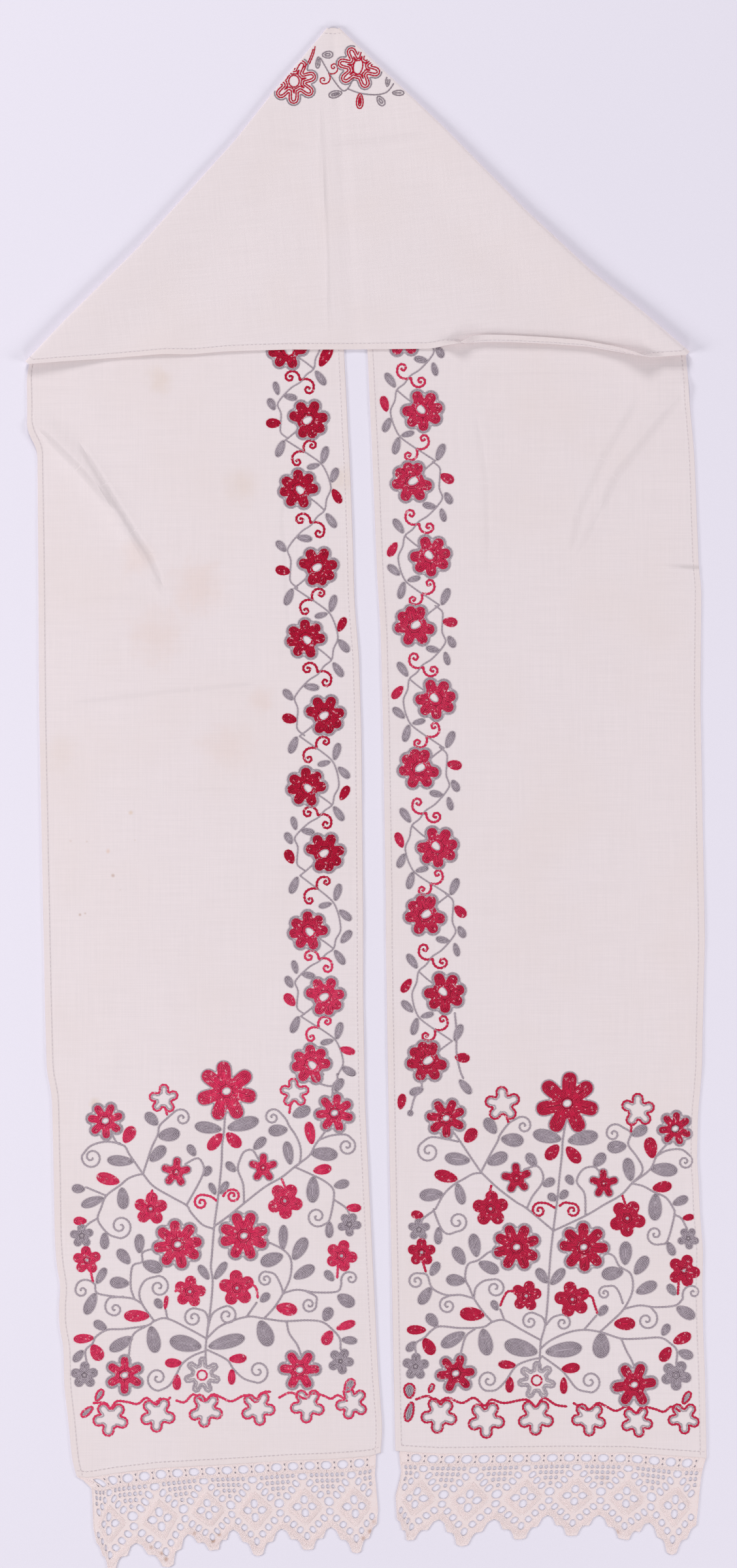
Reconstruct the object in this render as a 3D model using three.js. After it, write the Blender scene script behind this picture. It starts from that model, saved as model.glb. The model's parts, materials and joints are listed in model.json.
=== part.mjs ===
// A long linen towel with a crochet edging sewn to each end. The strip is folded twice over its
// own front, so that a triangle of its wrong side covers the tops of two hanging panels, and it
// lies flat: X runs across, Y towards the pointed top and Z up out of the surface it lies on.
import * as THREE from "three";

// Driving dimensions, in millimetres
const CLOTH_THICKNESS = 1.0;
const HEM_WIDTH = 8;
const HEM_BEND = 3.6;
const FRONT_HEIGHT = 2.1;
const FAN_START_Y = 130;
const BOW_REACH = 0.35;
const END_SAG_REACH = 60;
const EDGE_LIFT_REACH = 60;
const FLATTEST_TURN = 0.01;
const LACE_THICKNESS = 1.2;
const SEWN_GAP = 0.3;
const LACE_REPEATS = 6;
const LACE_REPEAT_WIDTH = 57.8;
const LACE_DEPTH = 106;
const BEND_STEPS = 3;
const FOLD_STEPS = 6;

const table = (columns, rows) => rows.map((row) =>
  Object.fromEntries(columns.map((name, column) => [name, row[column]])));

// The point of the triangle, where the embroidered inner edge passes from fold to fold
const APEX_LEFT = { x: -44, y: 884 };
const APEX_RIGHT = { x: -31, y: 884 };

// The long edges of the two hanging panels, from the end hem up to the fold
const LEFT_OUTER_EDGE = table(["x", "y"], [
  [-332, -778], [-337, -760], [-341, -718], [-346, -676], [-347, -628], [-352, -605],
  [-352, -578], [-350, -562], [-355, -534], [-357, -504], [-358, -435], [-360, -349],
  [-361, -335], [-366, -315], [-367, -280], [-368, -246], [-375, 107], [-376, 282],
  [-377, 399], [-383, 411], [-390, 422], [-391, 449], [-393, 489], [-390, 501],
]);
const LEFT_INNER_EDGE = table(["x", "y"], [
  [17, -751], [19, -721], [14, -658], [-1, -348], [-3, -226], [-3, -145], [-4, -38],
  [-5, 72], [-8, 164], [-13, 225], [-15, 297], [-18, 374], [-20, 412], [-25, 512],
  [APEX_LEFT.x, APEX_LEFT.y],
]);
const RIGHT_OUTER_EDGE = table(["x", "y"], [
  [391, -757], [389, -659], [387, -612], [386, -565], [387, -518], [386, -508], [383, -472],
  [382, -440], [380, -417], [381, -362], [384, -331], [386, -304], [386, -283], [389, -163],
  [384, 107], [385, 242], [382, 265], [380, 317], [377, 392], [374, 449], [373, 488],
  [371, 512],
]);
const RIGHT_INNER_EDGE = table(["x", "y"], [
  [34, -749], [32, -658], [26, -348], [23, -164], [23, -115], [20, 72], [17, 194], [13, 256],
  [11, 305], [8, 381], [2, 512], [APEX_RIGHT.x, APEX_RIGHT.y],
]);

// The front layer's lower edge: where it runs, how far it stands up, and how far its hem turns
const FRONT_EDGE = table(["x", "y", "lift", "turn"], [
  [-390, 501, 0, 0], [-353, 504, 0, 0], [-269, 509, 0.6, 0], [-235, 511, 1.5, 0],
  [-200, 510, 0.3, 0], [-159, 513, 1.2, 0], [-85, 515, 0.2, 0], [-18, 515, 0.2, 0],
  [75, 516, 0.6, 0], [95, 520, 1.0, 20], [110, 522, 1.5, 90], [125, 523, 2.0, 150],
  [140, 524, 2.1, 168],
  [165, 524, 2.2, 170], [210, 523, 2.0, 170], [255, 521, 2.2, 170], [294, 515, 2.4, 160],
  [315, 511, 1.5, 120], [328, 509, 1.0, 45], [342, 510, 0.5, 0], [371, 512, 0, 0],
]);

// How far each end hem dips below the straight line between its corners, outer end first
const LEFT_END_SAG = table(["at", "y"], [
  [0, 0], [0.04, -3], [0.13, 0], [0.27, 2], [0.5, 0], [0.7, -1], [0.85, -3], [0.96, -3], [1, 0],
]);
const RIGHT_END_SAG = table(["at", "y"], [
  [0, 0], [0.14, 2], [0.25, 4], [0.45, 3], [0.7, 0], [0.86, -2], [1, 0],
]);

// Where the rows of each panel lie along its outer edge, closer together at the soft ridges
const LEFT_ROWS = [
  -778, -760, -718, -676, -628, -605, -578, -562, -534, -504, -435, -349, -335, -315, -280,
  -180, -60, 60, 160, 220, 255, 280, 300, 316, 332, 348, 364, 378, 390, 401, 411, 422, 436,
  449, 468, 489, 501,
];
const RIGHT_ROWS = [
  -757, -709, -659, -612, -565, -518, -472, -440, -417, -362, -331, -304, -220, -100, 20, 107,
  180, 242, 265, 285, 302, 320, 337, 354, 371, 388, 405, 422, 440, 462, 488, 512,
];
const FRONT_ROWS = [
  -390, -376, -358, -335, -305, -270, -235, -200, -159, -120, -70, -18, 30, 75, 95, 110, 125,
  140, 165, 210, 255, 294, 315, 328, 342, 357, 371,
];
// Where the columns lie, as a part of the way from the hem to the inner edge
const COLUMNS = [0.04, 0.085, 0.13, 0.175, 0.225, 0.275, 0.33, 0.39, 0.46, 0.55, 0.68, 0.84, 1];

// The two slanting folds: the loop's radius at the corner and the point, and how far the folded
// edge bows in from a straight line on its way up
const LEFT_FOLD = {
  corner: { x: -390, y: 501 },
  apex: APEX_LEFT,
  outward: new THREE.Vector2(-383, 346).normalize(),
  cornerRadius: 5.0,
  apexRadius: 1.6,
  reach: 75,
  bow: table(["at", "depth"], [[0, 0], [0.13, 1.5], [0.35, 8], [0.68, 8], [0.82, 3], [1, 0]]),
};
const RIGHT_FOLD = {
  corner: { x: 371, y: 512 },
  apex: APEX_RIGHT,
  outward: new THREE.Vector2(372, 402).normalize(),
  cornerRadius: 5.4,
  apexRadius: 1.6,
  reach: 70,
  bow: table(["at", "depth"], [[0, 0], [0.12, 2], [0.26, 8], [0.45, 8], [0.7, 2], [1, 0]]),
};

// Soft ridges where the panels were pulled out from under the folds
const LEFT_RIDGE = table(["x", "y", "width", "height"], [
  [-388, 440, 6, 1.0], [-366, 422, 10, 3.6], [-328, 382, 11, 4.2], [-298, 343, 10, 3.8],
  [-268, 292, 8, 2.8], [-244, 254, 5, 0.8],
]);
const RIGHT_RIDGE = table(["x", "y", "width", "height"], [
  [372, 486, 8, 1.4], [336, 458, 14, 3.4], [302, 408, 14, 3.8], [272, 362, 11, 3.2],
  [250, 312, 8, 2.0], [236, 268, 5, 0.6],
]);

// The crochet repeat, drawn from its middle line and down from the hem
const LACE_OUTLINE = table(["across", "down"], [
  [-22.5, 81], [-18, 91.5], [-10.5, 92], [-7.5, 99], [-5.5, 105], [0, 106],
  [5.5, 105], [7.5, 99], [10.5, 92], [18, 91.5], [22.5, 81],
]);
const LACE_VALLEY = 77.5;
const LACE_HOLES = table(["across", "down", "width", "height", "sides"], [
  [-9.65, 6.9, 12.4, 11.2, 6], [9.65, 6.9, 12.4, 11.2, 6],
  [0, 19, 11, 8.7, 6],
  [-8, 27, 8.5, 7, 4], [8, 27, 8.5, 7, 4],
  [-13.2, 34.2, 8.5, 7.5, 4], [13.2, 34.2, 8.5, 7.5, 4],
  [-19.4, 40.8, 9, 8, 4], [19.4, 40.8, 9, 8, 4],
  [0, 47.3, 8, 9.6, 4], [-8.4, 54.7, 10, 8, 4], [8.4, 54.7, 10, 8, 4], [0, 61.6, 8, 9.6, 4],
  [-21.5, 67.7, 8.6, 7.6, 4], [21.5, 67.7, 8.6, 7.6, 4],
  [-14.4, 74.4, 9, 8.2, 4], [14.4, 74.4, 9, 8.2, 4],
  [-7.4, 81.6, 7.6, 9, 4], [7.4, 81.6, 7.6, 9, 4],
  [0, 90, 7.4, 10.4, 4],
]);
const LACE_SEAM_HOLES = table(["across", "down", "width", "height", "sides"], [
  [28.9, 6.9, 12.4, 11.2, 6], [28.9, 48.4, 11, 10.6, 6], [28.9, 59.8, 9.3, 8.7, 6],
]);

// Each edging's lowest points, counted in repeats from its left side, and how its sides pull in
const LEFT_LACE = {
  hem: { left: -331.5, right: 11 },
  foot: table(["repeat", "x", "y"], [
    [0, -303, -882], [0.5, -294, -885], [1.5, -226, -882], [2.5, -174, -862],
    [3.5, -124, -869], [4.5, -66, -862], [5.5, -10, -866], [6, 10, -862],
  ]),
  pulledIn: table(["down", "left", "right"], [[0, 0, 0], [9, 14, 0], [22, 12, 1], [60, 3, -3],
    [106, 0, 0]]),
};
const RIGHT_LACE = {
  hem: { left: 39, right: 390 },
  foot: table(["repeat", "x", "y"], [
    [0, 38, -856], [0.5, 49, -851], [1.5, 110, -858], [2.5, 177, -850], [3.5, 236, -846],
    [4.5, 296, -850], [5.5, 351, -868], [6, 376, -862],
  ]),
  pulledIn: table(["down", "left", "right"], [[0, 0, 0], [9, 0, 2], [25, 3, 3], [50, -4, 2],
    [106, 0, 0]]),
};

const PALE_LINEN = new THREE.MeshStandardMaterial({ color: 0xe6dbda, roughness: 0.9 });
const CROCHET_COTTON = new THREE.MeshStandardMaterial({ color: 0xe1d4cd, roughness: 0.92 });

const lerp = THREE.MathUtils.lerp;

// Reads one column of a table at a place along another, straight between the rows
function readTable(rows, key, place, column) {
  const rising = rows[rows.length - 1][key] > rows[0][key];
  const past = (row) => (rising ? row[key] >= place : row[key] <= place);
  const found = rows.findIndex(past);
  const above = found < 0 ? rows.length - 1 : Math.max(found, 1);
  const low = rows[above - 1];
  const high = rows[above];
  const part = THREE.MathUtils.clamp((place - low[key]) / (high[key] - low[key]), 0, 1);
  return lerp(low[column], high[column], part);
}

// Height of a soft ridge above the surface at one place, fading with distance from its line
function ridgeHeight(ridge, x, y) {
  let best = 0;
  for (let step = 0; step + 1 < ridge.length; step += 1) {
    const start = ridge[step];
    const end = ridge[step + 1];
    const along = new THREE.Vector2(end.x - start.x, end.y - start.y);
    const offset = new THREE.Vector2(x - start.x, y - start.y);
    const part = THREE.MathUtils.clamp(offset.dot(along) / along.lengthSq(), 0, 1);
    const distance = offset.sub(along.multiplyScalar(part)).length();
    const width = lerp(start.width, end.width, part);
    const height = lerp(start.height, end.height, part);
    best = Math.max(best, height * Math.exp(-((distance / width) ** 2)));
  }
  return best;
}

// The loop radius of a fold, from its corner (0) to the point of the triangle (1)
const foldRadius = (fold, at) => lerp(fold.cornerRadius, fold.apexRadius, at);

// How far a row beside a fold lies inside the straight line of that fold
const foldInset = (fold, at) => readTable(fold.bow, "at", at, "depth") + foldRadius(fold, at);

// A smooth step down from 1 to 0 over a given reach
function fade(distance, reach) {
  const part = THREE.MathUtils.clamp(distance / reach, 0, 1);
  return 0.5 * (1 + Math.cos(Math.PI * part));
}

// Height of the front layer's middle, raised beside the two folds
function frontHeight(x, y) {
  let rise = 0;
  for (const fold of [LEFT_FOLD, RIGHT_FOLD]) {
    const fromCorner = new THREE.Vector2(x - fold.corner.x, y - fold.corner.y);
    const length = Math.hypot(fold.apex.x - fold.corner.x, fold.apex.y - fold.corner.y);
    const inside = -fromCorner.dot(fold.outward);
    const along = Math.abs(fromCorner.x * fold.outward.y - fromCorner.y * fold.outward.x);
    const at = THREE.MathUtils.clamp(along / length, 0, 1);
    const loopHeight = CLOTH_THICKNESS / 2 + 2 * foldRadius(fold, at);
    const beside = Math.max(inside - foldInset(fold, at), 0);
    rise = Math.max(rise, (loopHeight - FRONT_HEIGHT) * fade(beside, fold.reach));
  }
  return FRONT_HEIGHT + rise;
}

// The plan of one row across the strip, from its outer edge to its inner edge
function rowAcross(outer, inner, folds) {
  return (at) => {
    const place = new THREE.Vector2(lerp(outer.x, inner.x, at), lerp(outer.y, inner.y, at));
    for (const { fold, weight } of folds) {
      place.addScaledVector(fold.outward, -weight * foldInset(fold, at));
    }
    return place;
  };
}

// One row of the strip in space: the hem's free edge, its bend, then the columns of the cloth
function spaceRow(across, heightAt, turnDegrees = 0, lift = 0) {
  const turn = THREE.MathUtils.degToRad(Math.max(turnDegrees, FLATTEST_TURN));
  const radius = HEM_BEND / turn;
  const outwardReach = turn < Math.PI / 2
    ? radius * Math.sin(turn) + HEM_WIDTH * Math.cos(turn)
    : radius;
  const width = across(0).distanceTo(across(1));
  const start = outwardReach / width;
  const hinge = across(start);
  const outward = across(0).sub(hinge).normalize();
  const hingeHeight = heightAt(hinge, start) + lift;
  const row = [];
  const hemPoint = (out, up) => {
    const place = hinge.clone().addScaledVector(outward, out);
    row.push(new THREE.Vector3(place.x, place.y, hingeHeight + up));
  };
  hemPoint(
    radius * Math.sin(turn) + HEM_WIDTH * Math.cos(turn),
    radius * (1 - Math.cos(turn)) + HEM_WIDTH * Math.sin(turn),
  );
  for (let step = BEND_STEPS; step >= 0; step -= 1) {
    const angle = turn * step / BEND_STEPS;
    hemPoint(radius * Math.sin(angle), radius * (1 - Math.cos(angle)));
  }
  for (const column of COLUMNS) {
    const at = lerp(start, 1, column);
    const place = across(at);
    const liftHere = lift * fade((at - start) * width, EDGE_LIFT_REACH);
    row.push(new THREE.Vector3(place.x, place.y, heightAt(place, at) + liftHere));
  }
  return row;
}

// The rows of one hanging panel, level at its hem and fanning out to the slope of the fold
function panelRows(rows, outerEdge, innerEdge, endSag, fold, ridge) {
  const hemY = rows[0];
  const foldY = rows[rows.length - 1];
  const innerHemY = innerEdge[0].y;
  const heightAt = (place) => CLOTH_THICKNESS / 2 + ridgeHeight(ridge, place.x, place.y);
  return rows.map((y) => {
    const fanned = THREE.MathUtils.clamp((y - FAN_START_Y) / (foldY - FAN_START_Y), 0, 1);
    const straight = THREE.MathUtils.clamp((y - hemY) / (FAN_START_Y - hemY), 0, 1);
    const innerY = y < FAN_START_Y
      ? lerp(innerHemY, FAN_START_Y, straight)
      : lerp(FAN_START_Y, fold.apex.y, fanned);
    const outer = { x: readTable(outerEdge, "y", y, "x"), y };
    const inner = { x: readTable(innerEdge, "y", innerY, "x"), y: innerY };
    const weight = fade(1 - fanned, BOW_REACH);
    const level = rowAcross(outer, inner, [{ fold, weight }]);
    const sagWeight = fade(y - hemY, END_SAG_REACH);
    const across = (at) => {
      const place = level(at);
      place.y += sagWeight * readTable(endSag, "at", at, "y");
      return place;
    };
    return spaceRow(across, heightAt);
  });
}

// The rows round the loop of a fold, from the lower layer up to the front layer
function foldRows(fold) {
  const rows = [];
  for (let step = 1; step < FOLD_STEPS; step += 1) {
    const angle = Math.PI * (step / FOLD_STEPS - 0.5);
    const beside = rowAcross(fold.corner, fold.apex, [{ fold, weight: 1 }]);
    const across = (at) =>
      beside(at).addScaledVector(fold.outward, foldRadius(fold, at) * Math.cos(angle));
    const heightAt = (place, at) =>
      CLOTH_THICKNESS / 2 + foldRadius(fold, at) * (1 + Math.sin(angle));
    rows.push(spaceRow(across, heightAt));
  }
  return rows;
}

// The rows of the front layer, which turn about the point from one fold to the other
function frontRows() {
  const first = FRONT_ROWS[0];
  const last = FRONT_ROWS[FRONT_ROWS.length - 1];
  return FRONT_ROWS.map((x) => {
    const part = (x - first) / (last - first);
    const outer = { x, y: readTable(FRONT_EDGE, "x", x, "y") };
    const inner = { x: lerp(APEX_LEFT.x, APEX_RIGHT.x, part), y: APEX_LEFT.y };
    const across = rowAcross(outer, inner, [
      { fold: LEFT_FOLD, weight: fade(part, BOW_REACH) },
      { fold: RIGHT_FOLD, weight: fade(1 - part, BOW_REACH) },
    ]);
    const turn = readTable(FRONT_EDGE, "x", x, "turn");
    const lift = readTable(FRONT_EDGE, "x", x, "lift");
    return spaceRow(across, (place) => frontHeight(place.x, place.y), turn, lift);
  });
}

// A closed sheet of even thickness about a grid of rows
function thickSheet(rows, thickness) {
  const rowCount = rows.length;
  const columnCount = rows[0].length;
  const positions = [];
  for (const side of [0.5, -0.5]) {
    for (let row = 0; row < rowCount; row += 1) {
      for (let column = 0; column < columnCount; column += 1) {
        const before = rows[Math.max(row - 1, 0)][column];
        const after = rows[Math.min(row + 1, rowCount - 1)][column];
        const outer = rows[row][Math.max(column - 1, 0)];
        const inner = rows[row][Math.min(column + 1, columnCount - 1)];
        const along = after.clone().sub(before);
        const across = inner.clone().sub(outer);
        const normal = across.cross(along).normalize();
        const point = rows[row][column].clone().addScaledVector(normal, side * thickness);
        positions.push(point.x, point.y, point.z);
      }
    }
  }
  const upper = (row, column) => row * columnCount + column;
  const lower = (row, column) => rowCount * columnCount + upper(row, column);
  const indices = [];
  const quad = (a, b, c, d) => indices.push(a, b, c, a, c, d);
  for (let row = 0; row + 1 < rowCount; row += 1) {
    for (let column = 0; column + 1 < columnCount; column += 1) {
      quad(upper(row, column), upper(row, column + 1),
        upper(row + 1, column + 1), upper(row + 1, column));
      quad(lower(row, column), lower(row + 1, column),
        lower(row + 1, column + 1), lower(row, column + 1));
    }
  }
  const lastRow = rowCount - 1;
  const lastColumn = columnCount - 1;
  for (let column = 0; column < lastColumn; column += 1) {
    quad(upper(0, column + 1), upper(0, column), lower(0, column), lower(0, column + 1));
    quad(upper(lastRow, column), upper(lastRow, column + 1),
      lower(lastRow, column + 1), lower(lastRow, column));
  }
  for (let row = 0; row < lastRow; row += 1) {
    quad(upper(row, 0), upper(row + 1, 0), lower(row + 1, 0), lower(row, 0));
    quad(upper(row + 1, lastColumn), upper(row, lastColumn),
      lower(row, lastColumn), lower(row + 1, lastColumn));
  }
  const geometry = new THREE.BufferGeometry();
  geometry.setAttribute("position", new THREE.Float32BufferAttribute(positions, 3));
  geometry.setIndex(indices);
  return geometry;
}

const leftPanel = panelRows(
  LEFT_ROWS, LEFT_OUTER_EDGE, LEFT_INNER_EDGE, LEFT_END_SAG, LEFT_FOLD, LEFT_RIDGE);
const rightPanel = panelRows(
  RIGHT_ROWS, RIGHT_OUTER_EDGE, RIGHT_INNER_EDGE, RIGHT_END_SAG, RIGHT_FOLD, RIGHT_RIDGE);

function makeCloth() {
  const rows = [
    ...leftPanel,
    ...foldRows(LEFT_FOLD),
    ...frontRows(),
    ...foldRows(RIGHT_FOLD).reverse(),
    ...[...rightPanel].reverse(),
  ];
  const cloth = new THREE.Mesh(thickSheet(rows, CLOTH_THICKNESS), PALE_LINEN);
  cloth.name = "cloth";
  return cloth;
}

// The crochet edging's own plan, laid under one end hem
function laceMap(lace, hemRow) {
  const hem = [...hemRow].sort((a, b) => a.x - b.x);
  return (repeat, down) => {
    const part = repeat / LACE_REPEATS;
    const hemX = lerp(lace.hem.left, lace.hem.right, part);
    const hemY = readTable(hem, "x", hemX, "y") - SEWN_GAP;
    const footX = readTable(lace.foot, "repeat", repeat, "x");
    const footY = readTable(lace.foot, "repeat", repeat, "y");
    const leftPull = readTable(lace.pulledIn, "down", down, "left");
    const rightPull = readTable(lace.pulledIn, "down", down, "right");
    const drop = down / LACE_DEPTH;
    const shift = leftPull * fade(repeat, 1) - rightPull * fade(LACE_REPEATS - repeat, 1);
    return new THREE.Vector2(lerp(hemX, footX, drop) + shift, lerp(hemY, footY, drop));
  };
}

function makeLace(name, lace, hemRow) {
  const place = laceMap(lace, hemRow);
  const repeatAt = (index, across) => index + 0.5 + across / LACE_REPEAT_WIDTH;
  const outline = [];
  const hemColumns = hemRow
    .map((point) => point.x)
    .filter((x) => x > lace.hem.left && x < lace.hem.right)
    .sort((a, b) => b - a);
  const repeatOfHem = (x) => LACE_REPEATS * (x - lace.hem.left) / (lace.hem.right - lace.hem.left);
  outline.push(place(LACE_REPEATS, 0));
  hemColumns.forEach((x) => outline.push(place(repeatOfHem(x), 0)));
  outline.push(place(0, 0));
  for (const row of lace.pulledIn.slice(1, -1)) {
    outline.push(place(0, row.down));
  }
  for (let index = 0; index < LACE_REPEATS; index += 1) {
    outline.push(place(index, LACE_VALLEY));
    LACE_OUTLINE.forEach((row) => outline.push(place(repeatAt(index, row.across), row.down)));
  }
  outline.push(place(LACE_REPEATS, LACE_VALLEY));
  for (const row of lace.pulledIn.slice(1, -1).reverse()) {
    outline.push(place(LACE_REPEATS, row.down));
  }
  const shape = new THREE.Shape(outline);
  const cutHole = (index, hole) => {
    const corners = [];
    for (let side = 0; side < hole.sides; side += 1) {
      const angle = 2 * Math.PI * side / hole.sides;
      const across = hole.across + 0.5 * hole.width * Math.cos(angle);
      const down = hole.down + 0.5 * hole.height * Math.sin(angle);
      corners.push(place(repeatAt(index, across), down));
    }
    shape.holes.push(new THREE.Path(corners));
  };
  for (let index = 0; index < LACE_REPEATS; index += 1) {
    LACE_HOLES.forEach((hole) => cutHole(index, hole));
    if (index + 1 < LACE_REPEATS) {
      LACE_SEAM_HOLES.forEach((hole) => cutHole(index, hole));
    }
  }
  const geometry = new THREE.ExtrudeGeometry(shape, { depth: LACE_THICKNESS, bevelEnabled: false });
  const mesh = new THREE.Mesh(geometry, CROCHET_COTTON);
  mesh.name = name;
  return mesh;
}

const rushnyk = new THREE.Group();
rushnyk.add(
  makeCloth(),
  makeLace("lace_left", LEFT_LACE, leftPanel[0]),
  makeLace("lace_right", RIGHT_LACE, rightPanel[0]),
);

export default rushnyk;
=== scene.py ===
"""An embroidered linen towel with a crochet edging, folded twice and laid flat.

Run as a script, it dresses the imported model: the folded cloth, the chain stitch flowers of its
ends and its border, the crochet edgings, and the stage with its lights and camera. The tables and
the shape functions are in millimetres, and every mesh is scaled to metres as it is made.
"""

import json
import math
from functools import lru_cache

import bpy
import numpy as np
from bpy.props import FloatProperty, FloatVectorProperty, PointerProperty
from bpy.types import Operator, Panel, PropertyGroup
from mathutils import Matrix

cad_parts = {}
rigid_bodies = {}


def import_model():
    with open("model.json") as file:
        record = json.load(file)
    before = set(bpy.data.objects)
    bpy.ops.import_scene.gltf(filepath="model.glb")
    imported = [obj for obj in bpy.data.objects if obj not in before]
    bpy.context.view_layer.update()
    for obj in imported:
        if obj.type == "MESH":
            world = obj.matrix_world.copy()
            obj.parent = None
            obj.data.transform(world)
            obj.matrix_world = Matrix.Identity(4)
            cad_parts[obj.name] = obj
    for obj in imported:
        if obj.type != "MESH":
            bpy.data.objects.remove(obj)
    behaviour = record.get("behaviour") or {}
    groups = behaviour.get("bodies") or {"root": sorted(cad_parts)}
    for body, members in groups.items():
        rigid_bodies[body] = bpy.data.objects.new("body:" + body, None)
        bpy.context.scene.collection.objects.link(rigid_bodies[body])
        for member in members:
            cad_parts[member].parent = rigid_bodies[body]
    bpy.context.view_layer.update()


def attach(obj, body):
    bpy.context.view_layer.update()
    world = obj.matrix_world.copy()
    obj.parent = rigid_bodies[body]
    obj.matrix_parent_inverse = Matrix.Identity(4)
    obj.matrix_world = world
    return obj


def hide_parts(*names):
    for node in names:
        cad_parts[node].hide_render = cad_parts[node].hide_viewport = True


bl_info = {
    "name": "Embroidered Towel",
    "version": (1, 0, 0),
    "blender": (4, 5, 0),
    "location": "View3D > Sidebar > Towel",
    "description": "A folded linen towel with chain stitch embroidery and a crochet edging",
    "category": "Add Mesh",
}

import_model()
MM = 0.001
SEED = 7

# Heights of the middle of the lower and of the front layer, and the hems with their bend
LOWER_MIDDLE = 0.5
FRONT_MIDDLE = 2.1
HEM_WIDTH = 7
HEM_BEND = 3.6
# Where the rows of a panel start to fan out, the reach of a fold's bow as a part of the rows,
# and the reach of the dip of an end and of a raised edge
FAN_START_Y = 130
BOW_REACH = 0.35
END_SAG_REACH = 60
EDGE_LIFT_REACH = 60
# The smallest turn of a hem in degrees, and how far an edge's corners are softened
FLATTEST_TURN = 0.01
EDGE_SMOOTHING = 9
# The grid of the cloth: gaps between its rows, rows round a fold, columns, and rows in an end hem
STRAIGHT_ROW_GAP = 5.0
FANNED_ROW_GAP = 3.2
FRONT_ROW_GAP = 7.0
FOLD_ROWS = 12
BODY_COLUMNS = 43
HEM_ROWS = 4
# The linen's slight waves: their height, and how far those of the front layer are shifted
WAVE_HEIGHT = 0.16
FRONT_WAVE_SHIFT = 90
# How far the front layer dips over the slot between the panels, and how wide the dip's sides are
SLOT_SAG = 0.9
SLOT_SAG_EDGE = 9

# The point of the triangle, where the embroidered inner edge passes from fold to fold
APEX_LEFT = (-44, 884)
APEX_RIGHT = (-31, 884)

# The long edges of the two hanging panels: x, y
LEFT_OUTER_EDGE = [
    (-332, -778), (-337, -760), (-341, -718), (-346, -676), (-347, -628), (-352, -605),
    (-352, -578), (-350, -562), (-355, -534), (-357, -504), (-358, -435), (-360, -349),
    (-361, -335), (-366, -315), (-367, -280), (-368, -246), (-375, 107), (-376, 282),
    (-377, 399), (-383, 411), (-390, 422), (-391, 449), (-393, 489), (-390, 501),
]
LEFT_INNER_EDGE = [
    (17, -751), (19, -721), (14, -658), (-1, -348), (-3, -226), (-3, -145), (-4, -38),
    (-5, 72), (-8, 164), (-13, 225), (-15, 297), (-18, 374), (-20, 412), (-25, 512),
    APEX_LEFT,
]
RIGHT_OUTER_EDGE = [
    (391, -757), (389, -659), (387, -612), (386, -565), (387, -518), (386, -508), (383, -472),
    (382, -440), (380, -417), (381, -362), (384, -331), (386, -304), (386, -283), (389, -163),
    (384, 107), (385, 242), (382, 265), (380, 317), (377, 392), (374, 449), (373, 488),
    (371, 512),
]
RIGHT_INNER_EDGE = [
    (34, -749), (32, -658), (26, -348), (23, -164), (23, -115), (20, 72), (17, 194), (13, 256),
    (11, 305), (8, 381), (2, 512), APEX_RIGHT,
]

# The front layer's lower edge: x, y, how far it stands up, how far its hem turns in degrees
FRONT_EDGE = [
    (-390, 501, 0, 0), (-353, 504, 0, 0), (-269, 509, 0.6, 0), (-235, 511, 1.5, 0),
    (-200, 510, 0.3, 0), (-159, 513, 1.2, 0), (-85, 515, 0.2, 0), (-18, 515, 0.2, 0),
    (75, 516, 0.6, 0), (95, 520, 1.0, 20), (110, 522, 1.5, 90), (125, 523, 2.0, 150),
    (140, 524, 2.1, 168), (165, 524, 2.2, 170), (210, 523, 2.0, 170), (255, 521, 2.2, 170),
    (294, 515, 2.4, 160), (315, 511, 1.5, 120), (328, 509, 1.0, 45), (342, 510, 0.5, 0),
    (371, 512, 0, 0),
]

# How far each end hem dips below the line between its corners: part of the width, dip
LEFT_END_SAG = [
    (0, 0), (0.04, -3), (0.13, 0), (0.27, 2), (0.5, 0), (0.7, -1), (0.85, -3), (0.96, -3), (1, 0),
]
RIGHT_END_SAG = [(0, 0), (0.14, 2), (0.25, 4), (0.45, 3), (0.7, 0), (0.86, -2), (1, 0)]

# The two slanting folds. A bow row holds the part of the way up and the depth of the bow
LEFT_FOLD = {
    "corner": (-390, 501),
    "apex": APEX_LEFT,
    "outward": (-383, 346),
    "corner_radius": 5.0,
    "apex_radius": 1.6,
    "reach": 75,
    "bow": [(0, 0), (0.13, 1.5), (0.35, 8), (0.68, 8), (0.82, 3), (1, 0)],
}
RIGHT_FOLD = {
    "corner": (371, 512),
    "apex": APEX_RIGHT,
    "outward": (372, 402),
    "corner_radius": 5.4,
    "apex_radius": 1.6,
    "reach": 70,
    "bow": [(0, 0), (0.12, 2), (0.26, 8), (0.45, 8), (0.7, 2), (1, 0)],
}
FOLDS = (LEFT_FOLD, RIGHT_FOLD)

# Soft ridges where the panels were pulled out from under the folds: x, y, width, height
LEFT_RIDGE = [
    (-388, 440, 6, 1.0), (-366, 422, 10, 3.6), (-328, 382, 11, 4.2), (-298, 343, 10, 3.8),
    (-268, 292, 8, 2.8), (-244, 254, 5, 0.8),
]
RIGHT_RIDGE = [
    (372, 486, 8, 1.4), (336, 458, 14, 3.4), (302, 408, 14, 3.8), (272, 362, 11, 3.2),
    (250, 312, 8, 2.0), (236, 268, 5, 0.6),
]

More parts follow.
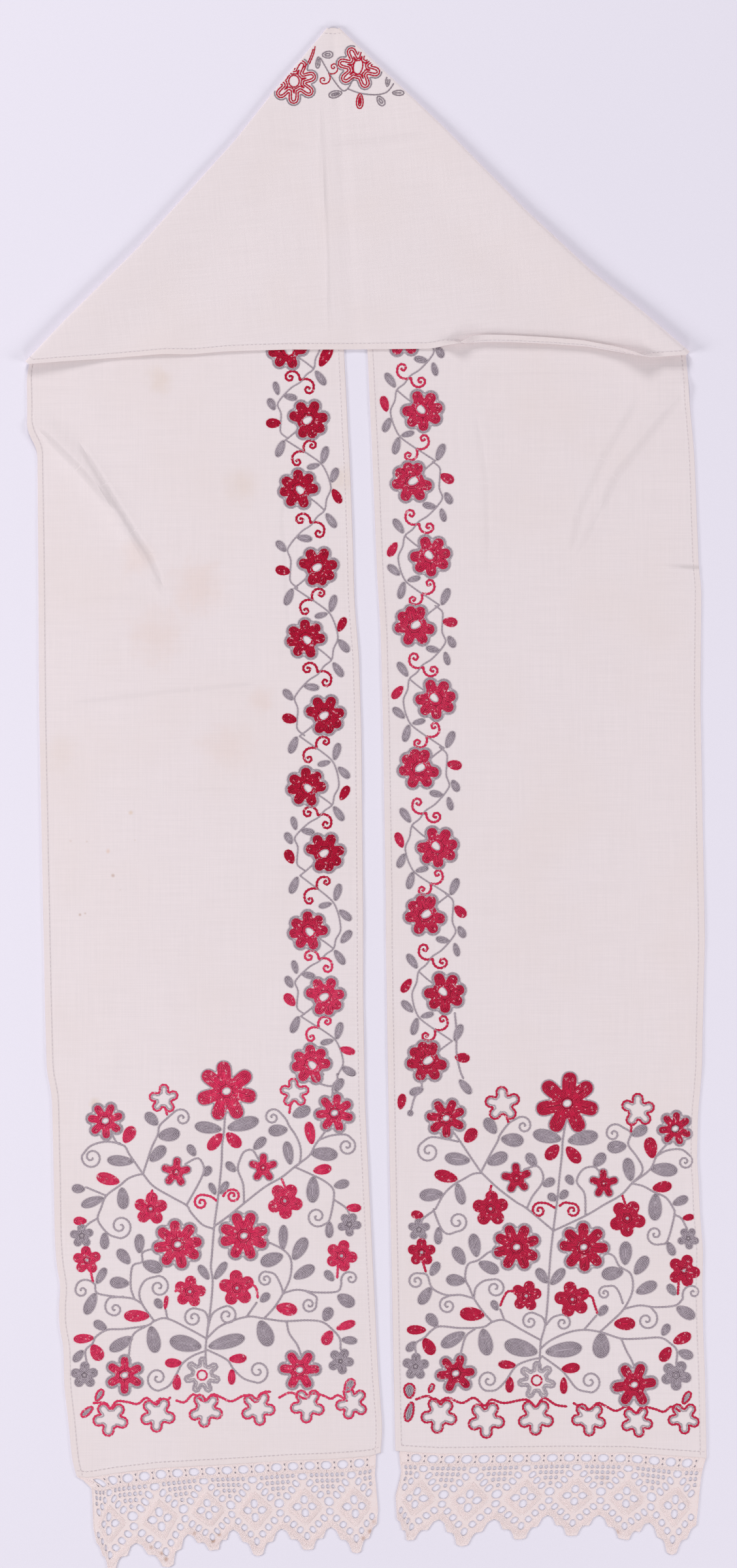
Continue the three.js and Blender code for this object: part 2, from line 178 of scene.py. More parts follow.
# Storage creases of the panels: width, height, points
PANEL_CREASES = [
    (7, -0.35, [(-364, 230), (-300, 232), (-225, 229)]),
    (3, 0.45, [(-244, 226), (-230, 229), (-222, 239)]),
    (9, 0.30, [(-352, 120), (-250, 123), (-158, 122)]),
    (8, -0.40, [(-375, 482), (-300, 488), (-225, 485)]),
    (7, 0.25, [(-360, -336), (-285, -334)]),
    (8, -0.35, [(120, 488), (230, 490), (330, 488)]),
    (3, 0.45, [(330, 268), (360, 266), (384, 266)]),
    (8, 0.30, [(218, -304), (300, -306), (382, -304)]),
    (12, 0.30, [(-132, 346), (-136, 264), (-142, 182)]),
    (12, 0.30, [(139, 452), (141, 346), (139, 242)]),
]
# Creases of the front layer: width, height, points
FRONT_CREASES = [
    (9, 0.55, [(-51, 766), (-50, 690), (-47, 616), (-43, 519)]),
    (8, 0.40, [(-146, 758), (-98, 750), (-52, 747)]),
    (8, -0.40, [(-45, 750), (8, 753), (60, 760)]),
    (20, 0.35, [(-250, 600), (-150, 640), (-100, 700)]),
    (20, 0.35, [(240, 610), (150, 650), (80, 720)]),
]
# Sharp creases, finer than the rows of the cloth: width, height, how much darker the painted shade
# along each makes the linen (a painted highlight where negative), points
SHARP_CREASES = [
    (7, 1.3, 0.075, [(-381, 428), (-331, 378), (-286, 327)]),
    (7, -1.15, 0.05, [(-331, 412), (-299, 361), (-266, 307), (-248, 280), (-231, 240)]),
    (12, 1.3, 0, [(-318, 376), (-248, 260)]),
    (6, 0.4, 0, [(-250, 254), (-232, 229)]),
    (9, 1.0, 0.045, [(374, 480), (284, 369.5), (266, 327)]),
    (8, -1.1, 0.045, [(320, 472), (271.6, 389), (244.4, 325.6), (236, 280)]),
    (8, -0.6, 0.02, [(273, 334.7), (236.8, 268)]),
    (4, -0.3, 0.02, [(96, 486.6), (305, 489)]),
    (4.5, 1.0, 0.16, [(339, 266.8), (412, 263.5)]),
    (7, -0.5, 0.03, [(126, 447), (138, 362), (140, 250)]),
    (5, -0.4, 0.03, [(-93, 344), (-96, 322), (-86, 178)]),
    (7, -0.6, 0.035, [(-383, 105), (-199, 125), (-105, 134)]),
    (6, -0.3, 0.015, [(-300, 8.6), (-105, 11.7)]),
    (6, -0.4, 0.02, [(-352, 231), (-225, 229)]),
    (8, 0.7, 0.02, [(-53, 815), (-50, 640)]),
    (6, 0.7, -0.02, [(-50, 756), (-43, 516)]),
    (9, -0.9, 0.03, [(-48, 751), (14, 756), (78, 764)]),
    (10, -0.6, 0.02, [(-120, 757), (-53, 747.5)]),
    (6, 0.5, 0, [(260, 567), (292, 577)]),
]
# Parts of a sharp crease over which it fades, at its free ends and where two lengths of it join
FREE_END = 0.45
JOINT = 0.02

# Leaves of the two ends: x, y, length, width, the angle of the axis in degrees
LEFT_GREY_LEAVES = [
    (-181, -378, 32, 14, -8), (-141, -374, 38, 16, 15), (-200, -404, 16, 10, -58),
    (-182, -428, 14, 10, 60), (-122, -396, 20, 11, 45), (-155, -423, 16, 10, -45),
    (-176, -448, 16, 8, -63), (-163, -447, 18, 9, 57), (-330, -448, 16, 11, -5),
    (-246, -368, 20, 13, -45), (-226, -386, 26, 16, 10), (-239, -408, 25, 14, 45),
    (-282, -416, 31, 13, -4), (-279, -459, 26, 14, -85), (-314, -463, 28, 12, 20),
    (-300, -508, 20, 11, 90), (-260, -511, 23, 12, 90), (-304, -548, 22, 10, 60),
    (-278, -526, 22, 13, -50), (-245, -537, 25, 15, -20), (-283, -556, 23, 14, -5),
    (-316, -580, 28, 13, 65), (-305, -605, 18, 11, -30), (-330, -640, 18, 10, 50),
    (-281, -626, 31, 14, 30), (-244, -621, 32, 16, -80), (-238, -580, 14, 10, -60),
    (-186, -544, 21, 10, -55), (-167, -542, 25, 10, 55), (-207, -626, 38, 19, -12),
    (-160, -624, 44, 16, 15), (-95, -504, 30, 11, 88), (-76, -517, 30, 15, 60),
    (-108, -529, 28, 16, 20), (-71, -544, 28, 14, 30), (-116, -573, 15, 10, 45),
    (-116, -614, 32, 19, -70), (-42, -548, 16, 10, -50), (-23, -576, 23, 15, -30),
    (-44, -592, 18, 13, 65), (-19, -622, 19, 10, -5), (-74, -360, 23, 14, 25),
    (-101, -381, 23, 14, 5), (-89, -407, 28, 12, -80), (-48, -408, 32, 16, -5),
    (-28, -443, 19, 11, 15), (-61, -449, 31, 15, 88), (-42, -495, 20, 10, 90),
    (-31, -329, 18, 10, 60),
]
LEFT_RED_LEAVES = [
    (-272, -386, 22, 14, 60), (-173, -394, 25, 13, 50), (-152, -392, 23, 14, -45),
    (-296, -437, 28, 14, -15), (-328, -485, 16, 10, 0), (-263, -594, 30, 14, 0),
    (-324, -620, 24, 11, 5), (-309, -636, 21, 15, -60), (-221, -648, 20, 11, 0),
    (-217, -670, 19, 10, 90), (-147, -643, 21, 11, 5), (-154, -664, 19, 9, 88),
    (-91, -586, 25, 15, -10), (-23, -605, 24, 10, 20), (-44, -619, 19, 13, 60),
    (-64, -384, 27, 12, -80), (-50, -426, 22, 12, 10), (-14, -470, 18, 10, 0),
    (-229.5, -578.5, 17, 5.5, 82),
]
RIGHT_GREY_LEAVES = [
    (143, -376, 22, 14, -55), (168, -392, 27, 16, -5), (151, -414, 26, 15, 25),
    (105, -414, 30, 15, -8), (108, -454, 26, 12, -75), (75, -455, 28, 15, 5),
    (190, -415, 19, 12, -55), (210, -441, 16, 11, 30), (208, -388, 34, 16, -12),
    (249, -390, 36, 17, 12), (214, -458, 13, 10, -35), (227, -455, 14, 10, 50),
    (314, -382, 21, 13, 30), (288, -400, 23, 15, 5), (302, -426, 28, 14, -80),
    (342, -426, 32, 16, -5), (361, -462, 20, 11, 25), (332, -469, 32, 16, 88),
    (350, -517, 18, 10, -65), (268, -415, 20, 13, 50), (234, -438, 14, 10, -55),
    (83, -502, 21, 10, 88), (79, -540, 19, 11, 60), (68, -571, 24, 13, 55),
    (107, -525, 24, 14, -60), (125, -513, 28, 14, -80), (141, -538, 26, 14, -25),
    (103, -553, 23, 14, -5), (148, -582, 14, 9, -60), (202, -548, 21, 12, -55),
    (220, -549, 25, 12, 50), (76, -599, 19, 13, -50), (52, -629, 16, 10, 45),
    (100, -621, 32, 15, 30), (137, -624, 32, 17, -80), (178, -631, 40, 20, -15),
    (227, -633, 43, 18, 8), (298, -522, 28, 15, 88), (316, -536, 26, 14, 55),
    (283, -545, 26, 16, 10), (322, -562, 27, 14, 25), (351, -564, 16, 10, -55),
    (367, -590, 25, 14, -30), (272, -588, 16, 10, 50), (270, -628, 30, 20, 88),
    (344, -610, 16, 10, 60), (367, -638, 19, 12, -20), (114, -331, 22, 10, -50),
    (58, -336, 18, 10, 20), (51, -361, 8.5, 7.5, 80),
]
RIGHT_RED_LEAVES = [
    (120, -387, 20, 14, 50), (92, -434, 28, 14, -15), (214, -406, 22, 14, 50),
    (238, -409, 24, 14, -50), (327, -401, 25, 15, -80), (340, -446, 23, 13, 10),
    (370, -481, 14, 8, 10), (59, -478, 15, 10, -10), (122, -592, 29, 16, -5),
    (58, -610, 23, 11, 0), (72, -629, 22, 14, -60), (162, -650, 21, 10, -5),
    (165, -673, 19, 10, 88), (235, -654, 22, 12, 8), (227, -674, 20, 9, 90),
    (297, -603, 25, 15, 0), (363, -620, 23, 13, 25), (344, -638, 20, 13, 55),
    (41, -348, 19, 10, 80),
]
# Leaves with a red outline and a grey middle
MIXED_LEAVES = [
    (-306, -685, 18, 10, 60), (-320, -704, 20, 10, 40), (-19, -674, 20, 13, 60),
    (50, -680, 20, 15, 90), (50, -704, 26, 12, 75), (75, -677, 14, 8, 65), (368, -688, 19, 10, 60),
]
# Stems of the two ends: the points they pass, and as a last row of three the curl they end in,
# with its middle and size
LEFT_STEMS = [
    [(-161, -352), (-163, -382), (-165, -397), (-166, -422), (-170, -460), (-174, -490), (-177, -526),
     (-178, -538), (-176, -553), (-177, -572), (-180, -598), (-183, -620), (-184, -631), (-184, -645)],
    [(-175, -494), (-188, -489), (-201, -475), (-206, -467), (-222, -458), (-244, -445), (-256, -431)],
    [(-206, -467), (-191, -440), (-186, -427), (-188, -418), (-194, -413), (-208, -420)],
    [(-256, -431), (-251, -416), (-246, -401), (-239, -386), (-237, -376), (-228, -367), (-220, -360),
     (-211, -367, 8)],
    [(-256, -431), (-265, -418), (-272, -408), (-277, -399), (-286, -395), (-293, -382)],
    [(-282, -396), (-299, -394), (-316, -399), (-326, -410), (-315, -412, 11)],
    [(-256, -431), (-265, -433), (-274, -437), (-282, -444), (-298, -456), (-304, -470), (-308, -482),
     (-303, -492), (-294, -501), (-282, -505), (-282, -491, 11)],
    [(-298, -456), (-322, -446)],
    [(-308, -482), (-318, -488), (-326, -496)],
    [(-183, -620), (-199, -611), (-228, -597), (-243, -600), (-251, -605), (-278, -609), (-297, -610),
     (-310, -618), (-314, -626), (-322, -634), (-320, -650)],
    [(-243, -600), (-257, -580), (-260, -566), (-253, -553), (-238, -548), (-238, -561, 10)],
    [(-257, -580), (-268, -574), (-286, -572), (-308, -568), (-311, -558), (-326, -565, 8)],
    [(-266, -574), (-270, -560), (-268, -537), (-257, -532), (-256, -521), (-240, -516)],
    [(-278, -572), (-294, -573), (-288, -586, 8)],
    [(-228, -597), (-230, -586)],
    [(-251, -605), (-268, -617), (-273, -647)],
    [(-184, -634), (-199, -640), (-211, -649), (-217, -660), (-226, -674), (-238, -680),
     (-239, -665, 10)],
    [(-182, -633), (-160, -644), (-152, -655), (-140, -666), (-124, -671), (-124, -657, 10)],
    [(-174, -491), (-156, -478), (-139, -464), (-116, -446), (-97, -435), (-82, -423)],
    [(-140, -464), (-141, -443), (-147, -426), (-144, -413), (-139, -405), (-130, -404), (-123, -415)],
    [(-82, -423), (-76, -418), (-75, -402), (-80, -388), (-88, -376), (-92, -368), (-99, -360),
     (-107, -366, 8)],
    [(-82, -423), (-65, -410), (-59, -399), (-54, -392), (-42, -376)],
    [(-54, -392), (-40, -387), (-23, -386), (-14, -393), (-22, -399, 9)],
    [(-82, -423), (-64, -431), (-48, -439), (-38, -448), (-37, -460), (-42, -484), (-48, -489),
     (-56, -480, 10)],
    [(-36, -461), (-23, -470), (-18, -480)],
    [(-117, -507), (-95, -518), (-86, -530), (-87, -550), (-95, -568), (-105, -584), (-117, -597)],
    [(-95, -568), (-98, -558), (-105, -546), (-116, -543), (-115, -552, 7)],
    [(-95, -568), (-79, -564), (-58, -567), (-33, -566), (-28, -557), (-17, -551, 7)],
    [(-68, -566), (-57, -572), (-57, -580), (-65, -581, 8)],
    [(-183, -620), (-166, -605), (-137, -595), (-117, -597), (-94, -600), (-68, -599), (-50, -601),
     (-38, -610), (-30, -620), (-29, -633)],
    [(-182, -612), (-181, -599), (-185, -589), (-195, -585.5), (-198, -596, 9.5)],
    [(-182, -610), (-177, -593), (-169, -586), (-160, -582.5), (-159.5, -593.5, 9.5)],
    [(-137, -595), (-125, -578)],
    [(-91, -601), (-88, -614), (-79, -627), (-74, -640)],
]
RIGHT_STEMS = [
    [(230, -368), (226, -392), (225, -409), (222, -436), (220, -458), (218, -473), (215, -496),
     (212, -523), (210, -550), (209, -572), (206, -603), (201, -622), (200, -634), (199, -653)],
    [(215, -496), (185, -471), (172, -463), (151, -447), (132, -429)],
    [(185, -470), (191, -457), (202, -442), (203, -431), (196, -422), (181, -426)],
    [(132, -429), (119, -410), (107, -392), (98, -380)],
    [(106, -394), (92, -391), (74, -389), (62, -397), (72, -405, 11)],
    [(132, -429), (142, -410), (151, -394), (154, -386), (164, -373), (172, -368), (181, -376, 8)],
    [(132, -430), (123, -431), (112, -437), (100, -444), (89, -455), (80, -471), (78, -473), (86, -493),
     (94, -500), (105, -497), (105, -486, 10)],
    [(78, -473), (66, -482), (62, -489)],
    [(216, -496), (252, -479), (274, -466), (293, -455), (305, -442)],
    [(252, -478), (251, -454), (242, -440), (249, -426), (262, -423), (270, -431)],
    [(305, -442), (316, -431), (317, -422), (310, -410), (301, -397), (304, -384), (294, -377),
     (284, -385, 8)],
    [(305, -442), (326, -426), (334, -410), (350, -392)],
    [(334, -410), (346, -404), (362, -403), (373, -411), (366, -417, 7)],
    [(305, -442), (318, -445), (331, -452), (344, -458), (352, -469), (354, -478), (346, -508),
     (337, -512), (332, -500, 8)],
    [(354, -478), (362, -482), (369, -495)],
    [(201, -622), (179, -610), (159, -599), (145, -601), (134, -607), (109, -608), (85, -606),
     (75, -611), (67, -619), (57, -626), (58, -640)],
    [(159, -599), (154, -586)],
    [(145, -601), (135, -590), (124, -574), (119, -562), (114, -551), (117, -535), (129, -530),
     (141, -521), (152, -518)],
    [(124, -574), (126, -562), (135, -554), (146, -552), (148, -562, 10)],
    [(124, -574), (109, -570), (92, -570), (76, -562), (70, -547), (60, -545), (58, -554, 8)],
    [(98, -570), (88, -574), (94, -582, 8)],
    [(125, -609), (115, -617), (110, -632), (108, -644)],
    [(201, -642), (187, -645), (172, -652), (160, -669), (149, -679), (138, -680), (141, -668, 10)],
    [(202, -640), (224, -656), (232, -665), (243, -678), (259, -682), (257, -669, 10)],
    [(201, -631), (212, -622), (232, -613), (251, -610), (271, -613), (293, -620), (315, -620),
     (338, -619), (350, -626), (357, -634), (356, -650)],
    [(206.5, -605), (203, -596), (195, -591.5), (188.5, -600.5, 8)],
    [(207, -604), (214, -596), (222, -593), (226, -602, 8)],
    [(251, -609), (265, -593)],
    [(269, -612), (280, -602), (296, -586), (306, -565), (304, -546), (291, -537), (284, -525),
     (272, -521)],
    [(295, -580), (291, -568), (285, -560), (276, -560), (274, -568, 6)],
    [(296, -586), (314, -582), (332, -584), (355, -582), (364, -574), (376, -567, 7)],
    [(327, -584), (333, -591), (322, -599, 9)],
    [(293, -620), (299, -634), (305, -645), (309, -655)],
]
# Red stems of the two ends
LEFT_RED_STEMS = [
    [(-230, -356), (-228, -364)],
    [(-86, -348), (-88, -362)],
    [(-248, -460), (-245, -449)],
    [(-92, -448), (-97, -436)],
    [(-132, -557), (-126, -562), (-124, -574)],
    [(-219, -566), (-213, -561)],
    [(-317, -538), (-313, -556)],
    [(-32, -536), (-33, -551)],
    [(-171, -462), (-178, -457), (-187, -455), (-189, -464, 7)],
    [(-164, -457), (-160, -451), (-154, -449), (-153, -456, 7)],
]
RIGHT_RED_STEMS = [
    [(161, -364), (164, -373)],
    [(305, -373), (304, -384)],
    [(144, -444), (140, -461)],
    [(294, -455), (299, -469)],
    [(172, -566), (163, -566), (158, -573), (154, -583)],
    [(249, -570), (259, -572), (262, -580), (266, -592)],
    [(65, -531), (69, -544)],
    [(359, -553), (358, -570)],
    [(217, -470), (208, -465), (200, -464), (199, -473, 7)],
    [(222, -468), (228, -464), (236, -465), (237, -473, 7)],
]
# The red wave above the lowest flowers
LEFT_WAVE = [
    [(-313, -694), (-299, -694), (-293, -700), (-286, -692), (-273, -693), (-262, -695), (-252, -688),
     (-243, -694), (-235, -688)],
    [(-228, -691), (-224, -687)],
    [(-218, -691), (-208, -693), (-198, -684), (-186, -692), (-176, -684), (-165, -688), (-154, -692),
     (-138, -685), (-126, -693), (-118, -682), (-109, -681)],
    [(-100, -688), (-86, -682), (-70, -689), (-62, -683), (-50, -685), (-40, -689), (-32, -685),
     (-21, -692)],
]
RIGHT_WAVE = [
    [(57, -690), (71, -686), (82, -693), (94, -688), (110, -694), (124, -688), (136, -697), (144, -690),
     (159, -694), (184, -690), (195, -698), (204, -688), (218, -696), (231, -698)],
    [(238, -694), (255, -702), (266, -694), (276, -698), (287, -703), (300, -698), (311, -706),
     (320, -699), (332, -701), (342, -704), (351, -698), (361, -704)],
]
# Flowers of the two ends: x, y, radius, petals, the angle of the first petal. First come those
# with a grey outline, then the plain, the hollow and the grey ones, and one of two grey rows
LEFT_OUTLINED_FLOWERS = [
    (-160, -336, 36, 7, 40), (-299, -370, 23.5, 7, 20), (-36, -361, 25, 7, 30),
    (-218, -429, 18.5, 5, 90), (-118, -424, 18, 5, 90), (-216, -512, 31, 8, 10),
    (-140, -502, 31, 8, 20), (-277, -662, 24.5, 6, 30), (-76, -656, 26, 6, 0),
]
RIGHT_OUTLINED_FLOWERS = [
    (231, -350, 37.5, 7, 35), (92, -367, 25.5, 7, 20), (355, -379, 22, 7, 30),
    (173, -436, 19, 5, 90), (273, -442, 18, 5, 90), (173, -515, 30, 8, 20), (250, -515, 31, 8, 0),
    (103, -660, 25, 6, 10), (308, -673, 28.5, 6, 5),
]
LEFT_PLAIN_FLOWERS = [
    (-247, -471, 19.5, 5, 90), (-93, -462, 21, 5, 60), (-202, -566, 18.5, 5, 80),
    (-148, -562, 21, 5, 100), (-320, -530, 16.5, 5, 90), (-28, -525, 18.5, 5, 70),
]
RIGHT_PLAIN_FLOWERS = [
    (143, -471, 21, 5, 90), (300, -482, 21.5, 5, 60), (184, -571, 18, 5, 80),
    (237, -575, 21, 5, 100), (64, -521, 16.5, 5, 90), (365, -542, 19, 5, 70),
]
LEFT_HOLLOW_FLOWERS = [
    (-232, -345, 18, 5, 90), (-82, -338, 18, 5, 90), (-293, -712, 21.5, 5, -95),
    (-239, -707, 21.5, 5, -88), (-184, -702, 21, 5, -90), (-124, -700, 21, 5, -84),
    (-67, -697, 21, 5, -92), (-16, -694, 20, 5, -100),
]
RIGHT_HOLLOW_FLOWERS = [
    (157, -351, 21.5, 5, 90), (312, -358, 20.5, 5, 90), (84, -708, 22, 5, -94),
    (138, -713, 22.5, 5, -85), (195, -710, 22, 5, -90), (256, -712, 21, 5, -96),
    (311, -715, 19.5, 5, -86), (365, -711, 19.5, 5, -92),
]
LEFT_GREY_FLOWERS = [
    (-326, -502, 14, 5, 90), (-19, -489, 14, 5, 60), (-323, -662, 16, 5, 90),
    (-29, -646, 15.5, 5, 60),
]
RIGHT_GREY_FLOWERS = [
    (61, -495, 13.5, 5, 90), (370, -505, 13, 5, 60), (57, -652, 16, 5, 90), (356, -662, 18, 5, 60),
]
LEFT_DOUBLE_FLOWER = (-188, -662, 22, 7, 90)
RIGHT_DOUBLE_FLOWER = (196, -668, 23, 7, 90)

# The border repeat, from one near flower past a far one to the next: along the strip, then
# out from the line through the flowers towards the inner edge
REPEAT_FLOWERS_AT = (0, 82.5, 170)
REPEAT_VINE = [
    (24.5, -23), (35, -5.5), (42, 6.5), (52, 21), (62, 28.5), (73, 34), (83, 36.5), (94, 29),
    (106.5, 23.5), (114, 13), (123, 4), (129.5, -7.5), (137, -17), (144.5, -25), (152, -30.5),
    (163, -29.5), (177, -32), (187, -31.5), (194.5, -23),
]
REPEAT_STALKS = [
    [(24.5, -23), (16, -14), (6, -6)],
    [(106.5, 23.5), (97, 15), (88, 4.5)],
]
# Angles of the petals of a near and of a far flower, and the oval hole beside each middle:
# x, y, length, width, the angle of the axis in degrees
NEAR_PETALS = (121, 65, 7, -37, -75, -112, 167)
FAR_PETALS = (93, 47, 2, -70, -123, 190, 148)
NEAR_HOLE = (-2.0, -1.6, 14.4, 8.2, 32)
FAR_HOLE = (2.6, -2.2, 14.4, 8.2, -45)
# Leaves of every repeat: along, out, length, width, the angle of the axis in degrees
REPEAT_LEAVES = [
    (34.5, -27.5, 22, 10, 67), (42, 24, 21.5, 9.5, 75), (55.5, 13, 16.5, 7.5, 15),
    (118, 28, 21, 9.5, -55),
]
# Leaves where the vine turns to the next repeat, one or two of them before the last
TURN_LEAVES = {
    1: [(138, -7.5, 19, 9, -8), (147, -36.5, 17, 9.5, -48)],
    2: [(131, -26, 17, 8, -75), (142, -13, 17, 8.5, -12), (151, -37, 16, 9.5, -62)],
}
# The two growths of the far side and the bud of the near side: along, out, length, width
SIDE_GROWTHS = [(66, 38.5, 19, 9.5), (90.5, 41.5, 19.5, 10)]
NEAR_BUD = (4.5, -39.5, 18, 11.5)
LONG_BUD = (28, 12.5)
# Each repeat's two growths, each a leaf or a bud at an angle, then the leaves at its turn and
# the angle of its near bud
LEFT_REPEATS = [
    ("leaf", -45, "long bud", 62, 2, -12), ("leaf", 70, "bud", -60, 1, 0),
    ("bud", 65, "leaf", -50, 1, -12), ("leaf", -45, "bud", 60, 2, -15),
    ("leaf", -40, "leaf", 50, 2, -65), ("bud", -15, "leaf", -30, 1, -50),
]
RIGHT_REPEATS = [
    ("leaf", -45, "bud", 55, 2, -5), ("leaf", 65, "bud", -68, 2, -45),
    ("leaf", -42, "bud", 50, 2, -10), ("leaf", -40, "bud", 60, 2, -5),
    ("leaf", 65, "bud", -75, 2, -28), ("leaf", 65, "bud", -60, 2, -28),
]
# Red double curls of the repeat: along and out of the middle, then of the middle of each end,
# the way in which the first one turns, and the radius
REPEAT_SCROLLS = [(38.5, 0.5, 30.8, 8.4, 50, -6, -1, 5.2), (121, 3.5, 117, -6.5, 132, 10.5, 1, 6.0)]
# Middles of the border flowers, a near one first, along the strip
LEFT_BORDER = [
    (-79, 603), (-90, 515), (-66, 435), (-77, 355), (-55, 266), (-69, 183), (-47, 96), (-68, 13),
    (-47, -62), (-66, -152), (-47, -227), (-63, -305), (-45, -392),
]
RIGHT_BORDER = [
    (70, -302), (90, -223), (68, -134), (82, -56), (61, 34), (80, 114), (56, 198), (74, 278),
    (53, 363), (65, 445), (43, 531), (60, 613), (40, 697),
]
# Where the border meets the flowers of each end
BORDER_END_STEMS = [
    [(-61, -317), (-55, -326), (-44, -330), (-38, -330)],
    [(-33, -316), (-33, -323), (-38, -330), (-38, -343), (-38, -352)],
    [(102, -246), (104, -268), (104, -292), (108, -312), (112, -322)],
    [(62, -318), (64, -332), (56, -343), (52, -357)],
]
# Wrong side at the point of the triangle. Flowers: middle, radius, angles of the petals, and
# the hole's place, size and axis
REVERSE_FLOWERS = [
    (-82.5, 822.5, 29, [65, 15, -34, -91, -137, 175, 118], (0, 0, 13.5, 12, 90)),
    (-8, 838.5, 28, [116, 166, 219, 291, 345, 30, 74], (-1, 1, 19, 10.5, 80)),
]
REVERSE_GREY_LEAVES = [
    (-44, 853, 15, 10, 5), (-55, 844, 16, 7, 85), (-35, 808, 18, 10, 15), (17, 800, 15, 10, -55),
    (25, 822, 14, 7, 85), (37, 809, 16, 8, 0),
]
REVERSE_BUDS = [(-7, 800, 20, 10, 88)]
REVERSE_STEMS = [
    [(-52, 849), (-41, 830), (-28, 813), (-21, 814), (-14, 826)],
    [(-21, 814), (-7, 809), (10, 807), (22, 809), (28, 814), (32, 820)],
]
REVERSE_RED_STEMS = [
    [(-59, 866), (-61.5, 856), (-67, 843), (-72, 838)],
    [(-58, 864), (-60, 854), (-65, 842)],
]
REVERSE_SCROLLS = [(-43, 832, -37, 839, -49, 824, 1, 4.6)]


def mirrored(half):
    """A line that starts on the middle line, with its mirror image before it."""
    return [(-across, down) for across, down in half[:0:-1]] + half


# The crochet repeat, drawn from its middle line and down from the hem: across, down
LACE_REPEATS = 6
LACE_REPEAT_WIDTH = 57.8
LACE_DEPTH = 106
SEWN_GAP = 0.3
LACE_OUTLINE = mirrored([(0, 106), (5.5, 105), (7.5, 99), (10.5, 92), (18, 91.5), (22.5, 81)])
LACE_VALLEY = 77.5
# Holes of one repeat: across, down, width, height, and how far the width is turned, in degrees.
# Those beside the middle line have a twin on its other side
LACE_HOLES = [
    (9.65, 6.7, 13.6, 10.6, 0), (0, 19, 11.8, 9.0, 0), (8, 27, 10.4, 7.6, -45),
    (13.4, 34.2, 10.4, 7.4, -45), (19.4, 40.9, 10.4, 7.8, -45), (0, 46.6, 9.4, 11.2, 0),
    (8.9, 54.5, 11.2, 9.4, 0), (0, 62.4, 9.4, 11.2, 0), (21.7, 67.9, 9.6, 7.8, 45),
    (14.6, 74.9, 9.6, 8.0, 45), (7.4, 82, 9.2, 7.8, 50), (0, 90, 7.6, 10.4, 0),
]
# Small openings over and under each crossing of the heading: across, down, width, height
LACE_CROSSINGS = (-19.3, 0, 19.3)
LACE_CROSSING_HOLES = [(3.9, 2.9, 3.0), (9.6, 2.9, 3.0)]
# Holes on the line between two repeats, measured from that line
LACE_SEAM_HOLES = [(0, 6.7, 13.6, 10.6, 0), (0, 48.6, 12.2, 11.2, 0), (0, 60, 9.4, 9.0, 0)]
# How square the corners of the holes are: 2 is an oval, and more is squarer
ROUNDING = 2.3
# The plate between the stitches counts as this part of the way up them, which sets how much painted
# groove shade its colour gets
PLATE_RISE = 0.62
# Reach of a hole's outline as a share of its size, and how far the yarn lies outside that
HOLE_SHARE = 0.46
HOLE_EDGE = 0.6
# Rows of small square holes about the line between two repeats: down, squares in the row
LACE_SQUARE_ROWS = [(17.6, 7), (24.4, 5), (31.2, 3), (38, 1)]
LACE_SQUARE_PITCH = 6.0
LACE_SQUARE = (4.8, 5.4)
# Bands of upright stitches: width, whether the line closes, points of its middle
LACE_BANDS = [
    (6.0, True, [(0, 34.6), (18.6, 54.5), (0, 74.4), (-18.6, 54.5)]),
    (7.0, False, mirrored([(0, 101), (8, 92), (14.5, 86), (21.5, 78.3), (28.9, 72.3)])),
    (3.6, False, mirrored([(0, 13.6), (28.9, 13.6)])),
]
# How far down the rows of chain stitches lie, and the ends of the edging's two straight sides
LACE_ROWS = (1.2, 12.6, 14.6)
LACE_SIDE = (4, 70)
# How far down the crossed stitches of the heading start and end, and how far they lean
LACE_CROSSING_SPAN = (0.6, 12.6)
LACE_CROSSING_LEAN = 3
# The outline's yarn and the upright stitches' yarn, as shares of the others' thickness
LACE_EDGE_SHARE = 1.1
LACE_POST_SHARE = 0.95

# Each edging's reach along its hem, its lowest points, counted in repeats from its left side,
# and how far its left and right sides are pulled in: down, left, right
LACES = {
    "left": {
        "hem": (-331.5, 11),
        "foot": [
            (0, -303, -882), (0.5, -294, -885), (1.5, -226, -882), (2.5, -174, -862),
            (3.5, -124, -869), (4.5, -66, -862), (5.5, -10, -866), (6, 10, -862),
        ],
        "pulled_in": [(0, 0, 0), (9, 14, 0), (22, 12, 1), (60, 3, -3), (106, 0, 0)],
    },
    "right": {
        "hem": (39, 390),
        "foot": [
            (0, 38, -856), (0.5, 49, -851), (1.5, 110, -858), (2.5, 177, -850),
            (3.5, 236, -846), (4.5, 296, -850), (5.5, 351, -868), (6, 376, -862),
        ],
        "pulled_in": [(0, 0, 0), (9, 0, 2), (25, 3, 3), (50, -4, 2), (106, 0, 0)],
    },
}


def read(rows, places, column=1, key=0):
    """Reads one column of a table at places along another, straight between its rows."""
    keys = np.array([row[key] for row in rows], dtype=float)
    values = np.array([row[column] for row in rows], dtype=float)
    if keys[0] > keys[-1]:
        keys = keys[::-1]
        values = values[::-1]
    return np.interp(places, keys, values)


def read_edge(edge, y):
    """Where an edge lies across at some heights, as a soft curve that passes both its ends."""
    y = np.asarray(y, dtype=float)
    first = min(edge[0][1], edge[-1][1])
    last = max(edge[0][1], edge[-1][1])
    reach = np.minimum(EDGE_SMOOTHING, np.minimum(y - first, last - y))
    reach = np.maximum(reach, 0)
    steps = (-1, -0.5, 0, 0.5, 1)
    return np.mean([read(edge, y + reach * step, 0, 1) for step in steps], axis=0)


def fade(distance, reach):
    """A smooth step down from 1 to 0 over a given reach."""
    return 0.5 * (1 + np.cos(np.pi * np.clip(np.asarray(distance) / reach, 0, 1)))


